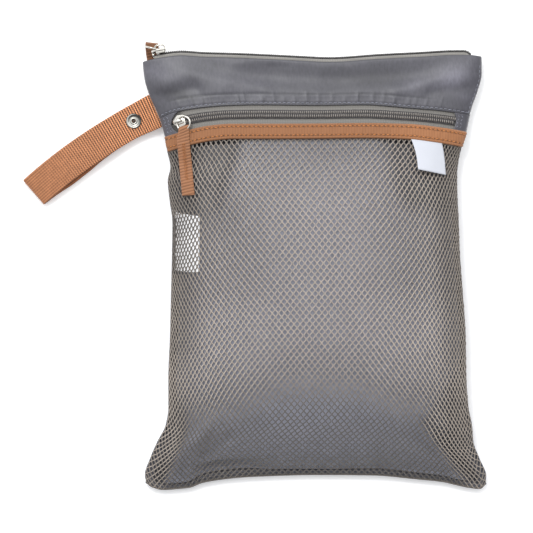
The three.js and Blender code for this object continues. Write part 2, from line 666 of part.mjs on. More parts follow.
// A slider in its own frame: x along the zip to the closed chain, z up from the tapes' outer face.
function sliderGeometry() {
  const plateBottom = LAYER_GAP + CHAIN_THICK + METAL_GAP;
  const plateTop = plateBottom + PLATE;
  const outline = (noseHalf, tailHalf) => {
    const shape = new THREE.Shape();
    const half = SLIDER_LENGTH / 2;
    shape.moveTo(-half + NOSE_CORNER, -noseHalf);
    shape.lineTo(half - TAIL_CORNER, -tailHalf);
    shape.lineTo(half, -tailHalf + TAIL_CORNER);
    shape.lineTo(half, tailHalf - TAIL_CORNER);
    shape.lineTo(half - TAIL_CORNER, tailHalf);
    shape.lineTo(-half + NOSE_CORNER, noseHalf);
    shape.lineTo(-half, noseHalf - NOSE_CORNER);
    shape.lineTo(-half, -noseHalf + NOSE_CORNER);
    return shape;
  };
  const slab = (shape, bottom, top) =>
    toSolid(
      new THREE.ExtrudeGeometry(shape, { depth: top - bottom, bevelEnabled: false }).translate(0, 0, bottom),
    );
  const block = (length, width, bottom, top, x, y = 0) =>
    toSolid(new THREE.BoxGeometry(length, width, top - bottom).translate(x, y, (top + bottom) / 2));

  let solid = slab(outline(SLIDER_NOSE / 2, SLIDER_TAIL / 2), plateBottom, plateTop);
  const underHalf = UNDER_WIDTH / 2;
  const underTop = -TAPE - METAL_GAP;
  solid = solid.add(slab(outline(underHalf, underHalf), underTop - UNDER_PLATE, underTop));
  const postX = -SLIDER_LENGTH / 2 + POST;
  solid = solid.add(block(POST * 1.6, POST, underTop - 0.1, plateBottom + 0.1, postX));
  for (const hand of [-1, 1]) {
    const y = hand * (SLIDER_TAIL / 2 - FLANGE / 2);
    const x = SLIDER_LENGTH / 10;
    solid = solid.add(block(SLIDER_LENGTH * 0.6, FLANGE, METAL_GAP, plateBottom + 0.1, x, y));
  }

  const wireTop = plateTop + METAL_GAP * 2 + RING_WIRE;
  const barBottom = wireTop + METAL_GAP;
  const arch = new THREE.Shape();
  const outerHalf = BRIDGE_LENGTH / 2;
  const innerHalf = outerHalf - BRIDGE_BAR;
  const barTop = barBottom + BRIDGE_BAR;
  arch.moveTo(-outerHalf, plateTop - 0.1);
  arch.lineTo(-innerHalf, plateTop - 0.1);
  arch.lineTo(-innerHalf, barBottom - BRIDGE_BAR / 2);
  arch.lineTo(-innerHalf + BRIDGE_BAR / 2, barBottom);
  arch.lineTo(innerHalf - BRIDGE_BAR / 2, barBottom);
  arch.lineTo(innerHalf, barBottom - BRIDGE_BAR / 2);
  arch.lineTo(innerHalf, plateTop - 0.1);
  arch.lineTo(outerHalf, plateTop - 0.1);
  arch.lineTo(outerHalf, barBottom);
  arch.lineTo(outerHalf - BRIDGE_BAR, barTop);
  arch.lineTo(-outerHalf + BRIDGE_BAR, barTop);
  arch.lineTo(-outerHalf, barBottom);
  const bridge = new THREE.ExtrudeGeometry(arch, { depth: BRIDGE_WIDTH, bevelEnabled: false })
    .translate(BRIDGE_AT, 0, -BRIDGE_WIDTH / 2)
    .rotateX(Math.PI / 2);
  solid = solid.add(toSolid(bridge));
  return toGeometry(solid);
}

const PLATE_TOP = LAYER_GAP + CHAIN_THICK + METAL_GAP + PLATE;
const RING_HEIGHT = PLATE_TOP + METAL_GAP * 2 + RING_WIRE / 2; // the wire's middle, above the tapes

// The ring's middle in its slider's frame: its wire passes under the middle of the bridge.
function ringCentre(turn) {
  const angle = THREE.MathUtils.degToRad(turn);
  const [x, y] = [RING_RADIUS * Math.cos(angle), RING_RADIUS * Math.sin(angle)];
  return new THREE.Vector3(BRIDGE_AT + x, y, RING_HEIGHT);
}

function addSliderAndRing(prefix, frame, turn) {
  add(`${prefix}_slider`, sliderGeometry(), NICKEL, frame);
  const ring = new THREE.TorusGeometry(RING_RADIUS, RING_WIRE / 2, 6, 24);
  const centre = ringCentre(turn);
  ring.translate(centre.x, centre.y, centre.z);
  add(`${prefix}_pull_ring`, ring, NICKEL, frame);
  return centre.clone().applyMatrix4(frame);
}

function frameFrom(origin, xAxis, zAxis) {
  const x = xAxis.clone().addScaledVector(zAxis, -xAxis.dot(zAxis)).normalize();
  const y = zAxis.clone().cross(x);
  return new THREE.Matrix4().makeBasis(x, y, zAxis).setPosition(origin);
}

function makePocketPull() {
  const zipAt = (YOKE_HEIGHT + ZIP_CENTRE) / PANEL_HEIGHT;
  const across = acrossFromLeft(POCKET_SLIDER_INSET, zipAt);
  const tapeTop = -CLOTH - TAPE_SINK;
  const onZip = (a) => offset(frontPlace, a, zipDown(a), tapeTop);
  const reach = SLIDER_LENGTH / 3 / (widthAt(zipAt) / 2);
  const origin = onZip(across);
  const along = onZip(across + reach).sub(onZip(across - reach)).normalize();
  const above = offset(frontPlace, across, zipDown(across), tapeTop + 1).sub(origin);
  const normal = above.addScaledVector(along, -above.dot(along)).normalize();
  const centre = addSliderAndRing("pocket", frameFrom(origin, along, normal), POCKET_RING_TURN);

  // The tab: up from the net and the band under the ring's wire, folded inside the ring, and back.
  const lean = THREE.MathUtils.degToRad(-90 + POCKET_TAB_LEAN);
  const heading = new THREE.Vector3(Math.cos(lean), Math.sin(lean), 0);
  const right = heading.clone().cross(Z_AXIS).negate();
  const clear = RING_WIRE / 2 + LAYER_GAP + RIBBON / 2;
  const plan = (out, aside) =>
    centre.clone().addScaledVector(heading, out).addScaledVector(right, aside);
  const ringZ = ({ x, y }) => centre.z - ((x - centre.x) * normal.x + (y - centre.y) * normal.y) / normal.z;
  const restZ = ({ x, y }) => {
    const { across: a, down } = frontAt(x, y);
    const pastBand = (down - bandDown(a, BAND_WIDTH)) * PANEL_HEIGHT;
    const onBand = 1 - smoothstep(pastBand, LAYER_GAP, BAND_WIDTH);
    return frontPlace(a, down).z + TAB_LIFT + (BAND_LIFT + CLOTH) * onBand + RIBBON / 2;
  };
  const station = (out, layer) => {
    const width = lerp(POCKET_FOLD_WIDTH, RIBBON_WIDTH, smoothstep(out, RING_RADIUS, RING_RADIUS * 2));
    const spots = [-0.5, 0, 0.5].map((share) => plan(out, share * width));
    const nearRing = 1 - smoothstep(out, RING_RADIUS * 1.5, RING_RADIUS * 3.6);
    const heights = spots.map((spot) => {
      const rest = restZ(spot) + layer * (RIBBON + LAYER_GAP);
      const atRing = ringZ(spot) + (layer ? clear : -clear);
      return out < RING_RADIUS * 1.2 ? atRing : Math.max(rest, lerp(rest, atRing, nearRing));
    });
    const middleZ = Math.max(heights[1], (heights[0] + heights[2]) / 2);
    const point = spots[1].clone().setZ(middleZ);
    const side = spots[2].clone().sub(spots[0]).setZ(heights[2] - heights[0]).normalize();
    return { point, side, width };
  };
  const outs = [1, 0.84, 0.7, 0.58, 0.48, 0.39, 0.31, 0.24, 0.18].map((share) => share * POCKET_TAB_LENGTH);
  const foldOut = POCKET_FOLD_AT;
  outs.push(RING_RADIUS + RING_WIRE / 2, foldOut);
  const lower = outs.map((out) => station(out, 0));
  const upper = outs.map((out) => station(out, 1)).reverse();
  const [low, high] = [lower.at(-1), upper[0]];
  const turnMiddle = low.point.clone().add(high.point).multiplyScalar(0.5);
  const rise = high.point.clone().sub(low.point).multiplyScalar(0.5);
  const inward = heading.clone().multiplyScalar(-FOLD_REACH);
  const fold = [-60, -20, 20, 60].map((angle) => {
    const t = THREE.MathUtils.degToRad(angle);
    const point = turnMiddle.clone().addScaledVector(inward, Math.cos(t)).addScaledVector(rise, Math.sin(t));
    return { point, side: low.side, width: POCKET_FOLD_WIDTH };
  });
  const run = [...lower, ...fold, ...upper];
  const sides = run.map(({ side }) => side);
  const widths = run.map(({ width }) => width);
  add("pocket_pull_tab", ribbon(run.map(({ point }) => point), sides, widths, RIBBON), BROWN_RIBBON);
}

// The top zip: a ridge between the two hems.
function ridgeLine(across) {
  const front = offset(frontPlace, across, 0, -CLOTH - LAYER_GAP - TAPE / 2).z;
  const back = offset(backPlace, across, 0, CLOTH + LAYER_GAP + TAPE / 2).z;
  return { hemY: topY(across), front, back, middle: (front + back) / 2 };
}

function makeTopZip() {
  const left = acrossFromLeft(RIDGE_INSET_LEFT, 0);
  const right = acrossFromRight(RIDGE_INSET_RIGHT, 0);
  const spread = (from, to) =>
    Array.from({ length: ZIP_STEPS + 1 }, (_, k) => lerp(from, to, (k / ZIP_STEPS) ** ZIP_CROWDING));
  const stations = spread(left, right);
  const tape = (hand) => {
    const [outer, inner] = [[], []];
    for (const across of stations) {
      const line = ridgeLine(across);
      const hemZ = hand > 0 ? line.front : line.back;
      const place = hand > 0 ? frontPlace : backPlace;
      const tuckDown = RIDGE_TUCK / PANEL_HEIGHT;
      const depth = -hand * (CLOTH + LAYER_GAP + TAPE / 2);
      const tucked = offset(place, across, tuckDown, depth);
      const slitZ = line.middle + (hand * TAPE_SLIT) / 2;
      const faceY = line.hemY + RIDGE_RISE - TAPE / 2;
      const turn = TAPE * 0.9;
      const path = [
        [tucked.y, tucked.z],
        [line.hemY - 0.6, hemZ],
        [faceY - turn, hemZ],
        [faceY, hemZ - hand * turn],
        [faceY, slitZ],
      ];
      path.forEach(([y, z], k) => {
        const ahead = path[Math.min(k + 1, path.length - 1)];
        const behind = path[Math.max(k - 1, 0)];
        const run = new THREE.Vector2(ahead[0] - behind[0], ahead[1] - behind[1]).normalize();
        const middle = new THREE.Vector3(planX(across, 0), y, z);
        const normal = new THREE.Vector3(0, -run.y, run.x);
        outer.push(middle.clone().addScaledVector(normal, TAPE / 2));
        inner.push(middle.clone().addScaledVector(normal, -TAPE / 2));
      });
    }
    const rows = stations.map((_, k) => k);
    const { faces } = grid([0, 1, 2, 3, 4], rows);
    return closedSheet(outer, inner, faces);
  };
  add("top_tape_front", tape(1), ZIP_TAPE);
  add("top_tape_back", tape(-1), ZIP_TAPE);

  const chainStart = acrossFromLeft(TOP_SLIDER_INSET + POST * 2 - SLIDER_LENGTH / 4, 0);
  const [outer, inner] = [[], []];
  for (const across of spread(chainStart, right)) {
    const line = ridgeLine(across);
    const bottom = line.hemY + RIDGE_RISE + LAYER_GAP;
    for (const hand of [1, -1]) {
      const z = line.middle + (hand * CHAIN_WIDTH) / 2;
      outer.push(new THREE.Vector3(planX(across, 0), bottom + CHAIN_THICK, z));
      inner.push(new THREE.Vector3(planX(across, 0), bottom, z));
    }
  }
  const rows = stations.map((_, k) => k);
  add("top_zip_chain", closedSheet(outer, inner, grid([0, 1], rows).faces), ZIP_COIL);
}

function makeTopPull() {
  const across = acrossFromLeft(TOP_SLIDER_INSET, 0);
  const line = ridgeLine(across);
  const onRidge = (a) => {
    const here = ridgeLine(a);
    return new THREE.Vector3(planX(a, 0), here.hemY + RIDGE_RISE, here.middle);
  };
  const reach = SLIDER_LENGTH / 3 / (BAG_WIDTH / 2);
  const origin = onRidge(across);
  const along = onRidge(across + reach).sub(onRidge(across - reach)).normalize();
  const outward = Z_AXIS.clone().cross(along).normalize();
  const centre = addSliderAndRing("top", frameFrom(origin, along, outward), TOP_RING_TURN);

  // The tab wraps the ring's lowest wire on its outer side, then lies on the floor under the bag.
  const lean = THREE.MathUtils.degToRad(-90 + TOP_TAB_LEAN);
  const heading = new THREE.Vector3(Math.cos(lean), Math.sin(lean), 0);
  const wireZ = centre.z - RING_RADIUS;
  const clear = RING_WIRE / 2 + LAYER_GAP + RIBBON / 2;
  const floorZ = LAYER_GAP + RIBBON / 2;
  const lowZ = Math.max(floorZ, wireZ - clear);
  const sagitta = RING_RADIUS - Math.sqrt(RING_RADIUS ** 2 - (TOP_FOLD_WIDTH / 2) ** 2);
  const highZ = wireZ + clear + sagitta;
  const layerZ = floorZ + RIBBON + LAYER_GAP;
  const middleZ = (lowZ + highZ) / 2;
  const foldRadius = (highZ - lowZ) / 2;
  const fold = [-60, -20, 20, 60].map((angle) => {
    const t = THREE.MathUtils.degToRad(angle);
    return [-FOLD_REACH - foldRadius * Math.cos(t), middleZ + foldRadius * Math.sin(t)];
  });
  const run = [
    [TOP_TAB_LENGTH, floorZ],
    [TOP_TAB_LENGTH * 0.5, floorZ],
    [TOP_TAB_LENGTH * 0.2, floorZ],
    [RING_RADIUS * 0.36, lowZ],
    [0, lowZ],
    ...fold,
    [0, highZ],
    [RING_RADIUS * 0.3, highZ - LAYER_GAP / 2],
    [TOP_TAB_LENGTH * 0.1, lerp(highZ, layerZ, 0.6)],
    [TOP_TAB_LENGTH * 0.2, layerZ],
    [TOP_TAB_LENGTH * 0.5, layerZ],
    [TOP_TAB_LENGTH, layerZ],
  ];
  const points = run.map(([out, z]) => centre.clone().addScaledVector(heading, out).setZ(z));
  const side = Z_AXIS.clone().cross(heading).negate();
  const atRing = along.clone().setZ(0).normalize();
  const sides = run.map(([out]) =>
    atRing.clone().lerp(side, smoothstep(out, TOP_TAB_LENGTH * 0.02, TOP_TAB_LENGTH * 0.3)).normalize(),
  );
  const widths = run.map(([out]) =>
    lerp(TOP_FOLD_WIDTH, RIBBON_WIDTH, smoothstep(out, RING_RADIUS * 0.55, RING_RADIUS * 2.4)),
  );
  add("top_pull_tab", ribbon(points, sides, widths, RIBBON), BROWN_RIBBON);
}

// The wrist strap: one length of webbing, sewn in at the seam, folded at the far end, snapped to itself.
function strapPlace(out, shift, height) {
  const steps = 24;
  const start = new THREE.Vector3(seamX("left", STRAP_DOWN), planY(-1, STRAP_DOWN), 0);
  const headingAt = (distance) =>
    THREE.MathUtils.degToRad(STRAP_HEADING + (STRAP_TURN * distance) / STRAP_LENGTH);
  for (let k = 0; k < steps; k += 1) {
    const angle = headingAt((out * (k + 0.5)) / steps);
    start.x += (Math.cos(angle) * out) / steps;
    start.y += (Math.sin(angle) * out) / steps;
  }
  const angle = headingAt(out);
  const side = new THREE.Vector3(-Math.sin(angle), Math.cos(angle), 0);
  return { point: start.addScaledVector(side, shift).setZ(height), side };
}

function makeStrap() {
  const upperZ = (out) => BAG_DEPTH * read(STRAP_UPPER, "out", "height", out);
  const lowerZ = (out) => Math.max(BAG_DEPTH * read(STRAP_LOWER, "out", "height", out), STRAP_THICK / 2);
  const run = [];
  const seat = 0.0155; // clears the seam, whose edge the strap's end is cut along
  const stops = [seat, 0.06, 0.11, 0.16, 0.21, 0.28, 0.36, 0.45, 0.55, 0.65, 0.75, 0.84, 0.92];
  const foldStart = 1 - STRAP_FOLD / STRAP_LENGTH;
  for (const out of stops) run.push({ out, z: upperZ(out), shift: 0 });
  const [highZ, lowZ] = [upperZ(1), lowerZ(1)];
  const foldRadius = (highZ - lowZ) / 2;
  for (const angle of [90, 54, 18, -18, -54, -90]) {
    const t = THREE.MathUtils.degToRad(angle);
    run.push({
      out: foldStart + (STRAP_FOLD * Math.cos(t)) / STRAP_LENGTH,
      z: (highZ + lowZ) / 2 + foldRadius * Math.sin(t),
      shift: 0,
    });
  }
  const freeEnd = STRAP_FREE_END / STRAP_LENGTH;
  for (const out of [...stops.filter((stop) => stop > freeEnd).reverse(), freeEnd])
    run.push({ out, z: lowerZ(out), shift: STRAP_WIDTH * read(STRAP_LOWER, "out", "shift", out) });

  const placed = run.map(({ out, z, shift }) => strapPlace(out * STRAP_LENGTH, shift, z));
  const edgeSlope = planX(-1, STRAP_DOWN + 0.03) - planX(-1, STRAP_DOWN - 0.03);
  const edge = new THREE.Vector3(edgeSlope, -0.06 * PANEL_HEIGHT, 0).normalize().negate();
  placed[0].side = edge.multiplyScalar(1 / Math.abs(edge.dot(placed[0].side)));
  const points = placed.map(({ point }) => point);
  const sides = placed.map(({ side }) => side.clone().negate());
  const webbing = toSolid(ribbon(points, sides, points.map(() => STRAP_WIDTH), STRAP_THICK));

  const snapOut = SNAP_AT / STRAP_LENGTH;
  const [top, bottom] = [upperZ(snapOut), lowerZ(snapOut)];
  const snap = strapPlace(SNAP_AT, 0, 0).point;
  const barrel = SNAP_HOLE + PLATE;
  const drill = new THREE.CylinderGeometry(barrel + METAL_GAP, barrel + METAL_GAP, BAG_DEPTH, 16)
    .rotateX(Math.PI / 2)
    .translate(snap.x, snap.y, 0);
  add("wrist_strap", toGeometry(webbing.subtract(toSolid(drill))), BROWN_WEBBING);
  addSnap(snap, top, bottom, barrel);
}

// The snap: each half is one turned piece that clamps its own layer of webbing.
function addSnap(snap, top, bottom, barrel) {
  const half = STRAP_THICK / 2 + METAL_GAP;
  const turned = (profile) =>
    new THREE.LatheGeometry(
      profile.map(([r, z]) => new THREE.Vector2(r, z)),
      18,
    ).rotateX(Math.PI / 2);
  const seam = (top + bottom) / 2;
  const socketFoot = seam + METAL_GAP / 2;
  const rim = SNAP_RADIUS;
  const high = top + half;
  const socket = turned([
    [SNAP_HOLE, socketFoot],
    [rim * 0.85, socketFoot],
    [rim * 0.85, top - half],
    [barrel, top - half],
    [barrel, high],
    [rim, high],
    [rim, high + SNAP_FLANGE * 0.4],
    [rim * 0.82, high + SNAP_FLANGE],
    [rim * 0.5, high + SNAP_FLANGE * 0.8],
    [SNAP_HOLE + 0.6, high + SNAP_FLANGE * 0.3],
    [SNAP_HOLE, high],
    [SNAP_HOLE, socketFoot],
  ]);
  const low = bottom - half;
  const studTop = seam - METAL_GAP / 2;
  const knob = SNAP_HOLE - METAL_GAP;
  const stud = turned([
    [0, low - SNAP_FLANGE],
    [rim * 0.82, low - SNAP_FLANGE],
    [rim, low - SNAP_FLANGE * 0.4],
    [rim, low],
    [barrel, low],
    [barrel, bottom + half],
    [rim * 0.7, bottom + half],
    [rim * 0.7, studTop],
    [knob, studTop],
    [knob, studTop + SNAP_SEAT],
    [0, studTop + SNAP_SEAT],
  ]);
  const frame = new THREE.Matrix4().makeTranslation(snap.x, snap.y, 0);
  add("snap_socket", socket, NICKEL, frame);
  add("snap_stud", stud, NICKEL, frame);
}

// The blank tag under the band's right end, and the care label inside the pocket at the left seam.
function makeLabels() {
  const bandFoot = (YOKE_HEIGHT + ZIP_SHOW + BAND_WIDTH) / PANEL_HEIGHT;
  const tagRight = acrossFromRight(TAG_INSET, bandFoot);
  const tagLeft = acrossFromRight(TAG_INSET + TAG_WIDTH, bandFoot);
  const fourths = [0, 0.25, 0.5, 0.75, 1];
  const tag = grid(fourths, fourths);
  tag.points = tag.points.map(([s, t]) => {
    const across = lerp(tagLeft, tagRight, s);
    return [across, bandDown(across, BAND_WIDTH + LAYER_GAP + t * TAG_LENGTH)];
  });
  const clear = (gap) => gap + LAYER_GAP;
  add("sewn_tag", cloth(frontPlace, tag, clear(LABEL), clear(0)), WHITE_LABEL);

  const careTop = CARE_DOWN / PANEL_HEIGHT;
  const careLow = (CARE_DOWN + CARE_LENGTH) / PANEL_HEIGHT;
  const care = grid(fourths, fourths);
  care.points = care.points.map(([s, t]) => {
    const down = lerp(careTop, careLow, t);
    return [lerp(-0.96 * panelReach(down), acrossFromLeft(CARE_REACH, down), s), down];
  });
  add(
    "care_label",
    cloth(
      frontPlace,
      care,
      (a, d) => -panelDepth(a, d) + CARE_LIFT + LABEL,
      (a, d) => -panelDepth(a, d) + CARE_LIFT,
    ),
    WHITE_LABEL,
  );
}

makePanels();
makeYoke();
makeNet();
makeBand();
makePocketZip();
makePocketPull();
makeTopZip();
makeTopPull();
makeStrap();
makeLabels();

// The origin is under the middle of the whole object, on the surface that it lies on.
const box = new THREE.Box3().setFromObject(bag);
const middle = box.getCenter(new THREE.Vector3());
bag.position.set(-middle.x, -middle.y, -box.min.z);

export default bag;
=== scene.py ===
"""A zipped cloth bag with a net pocket and a wrist strap, lying on its back on a pale table.

Sizes are in millimetres until a mesh is made. u runs across the bag from -1 at its left seam to 1 at its
right, and v down it from 0 at its top hem to 1 at its bottom seam.
"""

import math

import bpy
import numpy as np
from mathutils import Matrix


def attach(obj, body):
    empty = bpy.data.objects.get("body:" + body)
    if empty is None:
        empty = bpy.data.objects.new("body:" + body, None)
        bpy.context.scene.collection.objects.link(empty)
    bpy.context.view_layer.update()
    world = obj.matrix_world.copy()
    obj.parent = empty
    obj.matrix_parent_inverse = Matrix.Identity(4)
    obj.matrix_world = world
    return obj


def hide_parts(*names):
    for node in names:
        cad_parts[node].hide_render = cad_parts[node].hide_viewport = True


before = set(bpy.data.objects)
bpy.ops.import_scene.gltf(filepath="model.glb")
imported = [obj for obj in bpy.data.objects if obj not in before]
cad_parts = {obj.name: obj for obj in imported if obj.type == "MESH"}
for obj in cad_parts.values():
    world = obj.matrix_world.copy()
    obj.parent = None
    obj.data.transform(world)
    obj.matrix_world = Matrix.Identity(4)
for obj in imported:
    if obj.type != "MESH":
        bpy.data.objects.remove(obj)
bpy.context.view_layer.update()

MM = 0.001
SHIFT = np.array([45.1305, -3.798, 0.0])  # from the bag's own middle to the frame's origin

BAG_WIDTH = 266.0
PANEL_HEIGHT = 334.0
BAG_DEPTH = 34.0
CLOTH = 1.0
SEAM_GAP = 0.3
YOKE_HEIGHT = 35.0
ZIP_SHOW = 14.5
BAND_WIDTH = 12.3
ZIP_CENTRE = 7.1
WINDOW_LEFT = 8.0
WINDOW_RIGHT = 11.0
PHOTO_MM = 421.0  # what the picture takes in, at the height of the seams

UP = np.array([0, 0, 1.0])

rng = np.random.default_rng(7)


# Curves and tables.


def curve(rows, column):
    """A smooth curve through a table's column that doesn't overshoot, against its first column."""
    table = np.array(rows, float)
    xs, ys = table[:, 0], table[:, column]
    rise = np.diff(ys) / np.diff(xs)
    slope = np.zeros_like(ys)
    slope[0], slope[-1] = rise[0], rise[-1]
    before, after = rise[:-1], rise[1:]
    total = np.where(np.abs(before + after) < 1e-12, 1.0, before + after)
    slope[1:-1] = np.where(before * after <= 0, 0.0, 2 * before * after / total)

    def at(t):
        t = np.clip(np.asarray(t, float), xs[0], xs[-1])
        i = np.clip(np.searchsorted(xs, t, side="right") - 1, 0, len(xs) - 2)
        span = xs[i + 1] - xs[i]
        f = (t - xs[i]) / span
        return (
            ys[i] * (1 + 2 * f) * (1 - f) ** 2
            + slope[i] * span * f * (1 - f) ** 2
            + ys[i + 1] * f * f * (3 - 2 * f)
            + slope[i + 1] * span * f * f * (f - 1)
        )

    return at


def smoothstep(x, low, high):
    """From 0 at low to 1 at high, which may be the lesser of the two."""
    t = np.clip((np.asarray(x, float) - low) / (high - low), 0, 1)
    return t * t * (3 - 2 * t)


def bump(x, middle, width):
    return np.exp(-(((np.asarray(x, float) - middle) / width) ** 2))


# down, left, right: shares of the bag's width
OUTLINE = [
    (0, -0.505, 0.503), (0.04, -0.499, 0.503), (0.08, -0.484, 0.491), (0.12, -0.461, 0.473),
    (0.18, -0.438, 0.456), (0.21, -0.432, 0.444), (0.25, -0.422, 0.433), (0.28, -0.43, 0.43),
    (0.33, -0.424, 0.431), (0.38, -0.416, 0.434), (0.45, -0.417, 0.437), (0.55, -0.42, 0.446),
    (0.65, -0.423, 0.4545), (0.75, -0.428, 0.457), (0.82, -0.428, 0.464), (0.86, -0.436, 0.474),
    (0.9, -0.461, 0.479), (0.94, -0.483, 0.498), (0.98, -0.499, 0.518), (1, -0.495, 0.517),
]
# across, rise: shares of the panel's height
TOP_HEM = [
    (-1, 0), (-0.88, 0.0095), (-0.77, 0.014), (-0.64, 0.0108), (-0.43, 0.0083), (-0.07, 0.0015),
    (0.1, -0.0015), (0.4, 0.006), (0.64, 0.0108), (0.82, 0.0148), (0.92, 0.0152), (1, 0.013),
]
BOTTOM_SEAM = [
    (-1, 0.0024), (-0.965, -0.008), (-0.9, -0.0141), (-0.82, -0.012), (-0.74, -0.0084), (-0.67, 0.0024),
    (-0.53, 0.0118), (-0.385, 0.0168), (0, 0.0215), (0.325, 0.0205), (0.61, 0.0105), (0.75, 0.0045),
    (0.82, -0.0022), (0.893, -0.0085), (0.965, -0.012), (1, 0),
]
# across, the hem's sag, the band's sag: shares of the panel's height
POCKET_LINES = [
    (-1, 0.03, 0.0295), (-0.9, 0.0165, 0.0205), (-0.8, 0.0095, 0.0115), (-0.7, 0.0048, 0.005),
    (-0.55, 0.0006, 0.0006), (-0.35, -0.0012, 0.0006), (0, 0, 0), (0.3, -0.0014, -0.0012),
    (0.6, 0.0068, 0.001), (0.8, 0.0125, 0.008), (1, 0.022, 0.0176),
]
# down, front, back, seam: shares of the depth; then how square the shoulders are
PUFF = [
    (0, 0.46, 0.08, 0.25, 14), (0.04, 0.49, 0.08, 0.25, 8), (0.12, 0.6, 0.06, 0.26, 5),
    (0.18, 0.7, 0.02, 0.28, 4.4), (0.3, 0.86, 0, 0.32, 3.8), (0.45, 0.96, 0, 0.36, 3.6),
    (0.6, 1, 0, 0.37, 3.6), (0.75, 0.98, 0, 0.36, 3.6), (0.84, 0.9, 0, 0.32, 3.3),
    (0.91, 0.74, 0, 0.26, 2.9), (0.955, 0.55, 0.01, 0.2, 2.6), (0.985, 0.33, 0.05, 0.16, 2.4),
    (1, 0.14, 0.14, 0.14, 2.4),
]
# from across and down, to across and down, half width as a share of the height, lift as a share of the depth
FOLDS = [
    (-0.95, 0.085, -0.72, 0.075, 0.018, -0.05), (0.72, 0.085, 0.95, 0.07, 0.018, -0.05),
    (0.5, 0.08, 0.98, 0.02, 0.02, 0.035), (-0.85, 0.03, -0.3, 0.07, 0.02, 0.03),
    (-0.97, 0.95, -0.72, 0.86, 0.022, 0.04), (-0.8, 0.97, -0.55, 0.9, 0.02, -0.04),
    (0.97, 0.95, 0.72, 0.84, 0.022, 0.04), (0.85, 0.97, 0.6, 0.9, 0.02, -0.04),
]

left_seam, right_seam = curve(OUTLINE, 1), curve(OUTLINE, 2)
top_rise, bottom_rise = curve(TOP_HEM, 1), curve(BOTTOM_SEAM, 1)
hem_sag, band_sag = curve(POCKET_LINES, 1), curve(POCKET_LINES, 2)
front_share, back_share, seam_share, shoulder_at = (curve(PUFF, k) for k in (1, 2, 3, 4))


def top_y(u):
    return PANEL_HEIGHT * (0.5 + top_rise(u))


def bottom_y(u):
    return PANEL_HEIGHT * (-0.5 + bottom_rise(u))


def plan_x(u, v):
    left, right = BAG_WIDTH * left_seam(v), BAG_WIDTH * right_seam(v)
    return left + (right - left) * (np.asarray(u) + 1) / 2


def plan_y(u, v):
    return top_y(u) + (bottom_y(u) - top_y(u)) * np.asarray(v)


def v_at(u, y):
    return (top_y(u) - y) / (top_y(u) - bottom_y(u))


def u_from_left(distance, v):
    return -1 + 2 * distance / (BAG_WIDTH * (right_seam(v) - left_seam(v)))


def u_from_right(distance, v):
    return 1 - 2 * distance / (BAG_WIDTH * (right_seam(v) - left_seam(v)))


def hem_v(u, below=0.0):
    return v_at(u, PANEL_HEIGHT / 2 - YOKE_HEIGHT - PANEL_HEIGHT * hem_sag(u) - below)


def band_v(u, below=0.0):
    return v_at(u, PANEL_HEIGHT / 2 - YOKE_HEIGHT - ZIP_SHOW - PANEL_HEIGHT * band_sag(u) - below)


def zip_v(u, below=0.0):
    share = ZIP_CENTRE / ZIP_SHOW
    return hem_v(u) * (1 - share) + band_v(u) * share + below / PANEL_HEIGHT


# The bag's two faces.


def ridge(u, v, fold):
    u0, v0, u1, v1, spread, lift = fold
    scale = BAG_WIDTH / 2 / PANEL_HEIGHT
    run = np.array([(u1 - u0) * scale, v1 - v0])
    here_u, here_v = (u - u0) * scale, v - v0
    t = np.clip((here_u * run[0] + here_v * run[1]) / (run @ run), 0, 1)
    off = np.hypot(here_u - t * run[0], here_v - t * run[1])
    return BAG_DEPTH * lift * np.exp(-((off / spread) ** 2))


def crown(u, shoulder):
    return np.sqrt(np.maximum(0, 1 - np.abs(u) ** shoulder))


def front_z(u, v, folds=FOLDS):
    seam = BAG_DEPTH * seam_share(v)
    rise = crown(u, shoulder_at(v))
    fade = rise * smoothstep(v, 1, 0.97)
    body = np.maximum(BAG_DEPTH * front_share(v) - seam, 0) * rise
    for fold in folds:
        body = body + ridge(u, v, fold) * fade
    return seam + SEAM_GAP / 2 + CLOTH + body


def back_z(u, v):
    seam = BAG_DEPTH * seam_share(v)
    rim = seam - SEAM_GAP / 2 - CLOTH
    rise = np.minimum(1.04 * crown(u, 9), 1)
    return np.maximum(rim - (rim - BAG_DEPTH * back_share(v)) * rise, 0)


def place(u, v, height):
    u, v = np.broadcast_arrays(np.asarray(u, float), np.asarray(v, float))
    return np.stack([plan_x(u, v), plan_y(u, v), height(u, v)], -1)


def lifted(u, v, distance, height=front_z, relief=None):
    """Points at a distance along the face's upward normal, kept on their own side of the seam."""
    u, v = np.broadcast_arrays(np.asarray(u, float), np.asarray(v, float))
    step = 0.002
    u0, u1 = np.maximum(u - step, -1), np.minimum(u + step, 1)
    v0, v1 = np.maximum(v - step, 0), np.minimum(v + step, 1)
    across = place(u1, v, height) - place(u0, v, height)
    up = place(u, v0, height) - place(u, v1, height)
    normal = unit(np.cross(across, up))
    if relief is not None:
        distance = distance + relief(u, v)
    points = place(u, v, height) + normal * np.asarray(distance)[..., None]
    seam = BAG_DEPTH * seam_share(v)
    if height is back_z:
        points[..., 2] = np.minimum(points[..., 2], seam - SEAM_GAP / 2)
    else:
        points[..., 2] = np.maximum(points[..., 2], seam + SEAM_GAP / 2)
    return points


def find_uv(x, y):
    """The place on the front face at a point of the plan."""
    u, v = np.zeros_like(x), np.full_like(x, 0.5)
    for _ in range(14):
        v = v_at(u, y)
        left, right = BAG_WIDTH * left_seam(v), BAG_WIDTH * right_seam(v)
        u = 2 * (x - left) / (right - left) - 1
    return u, v


# Meshes.

bag_parts = []


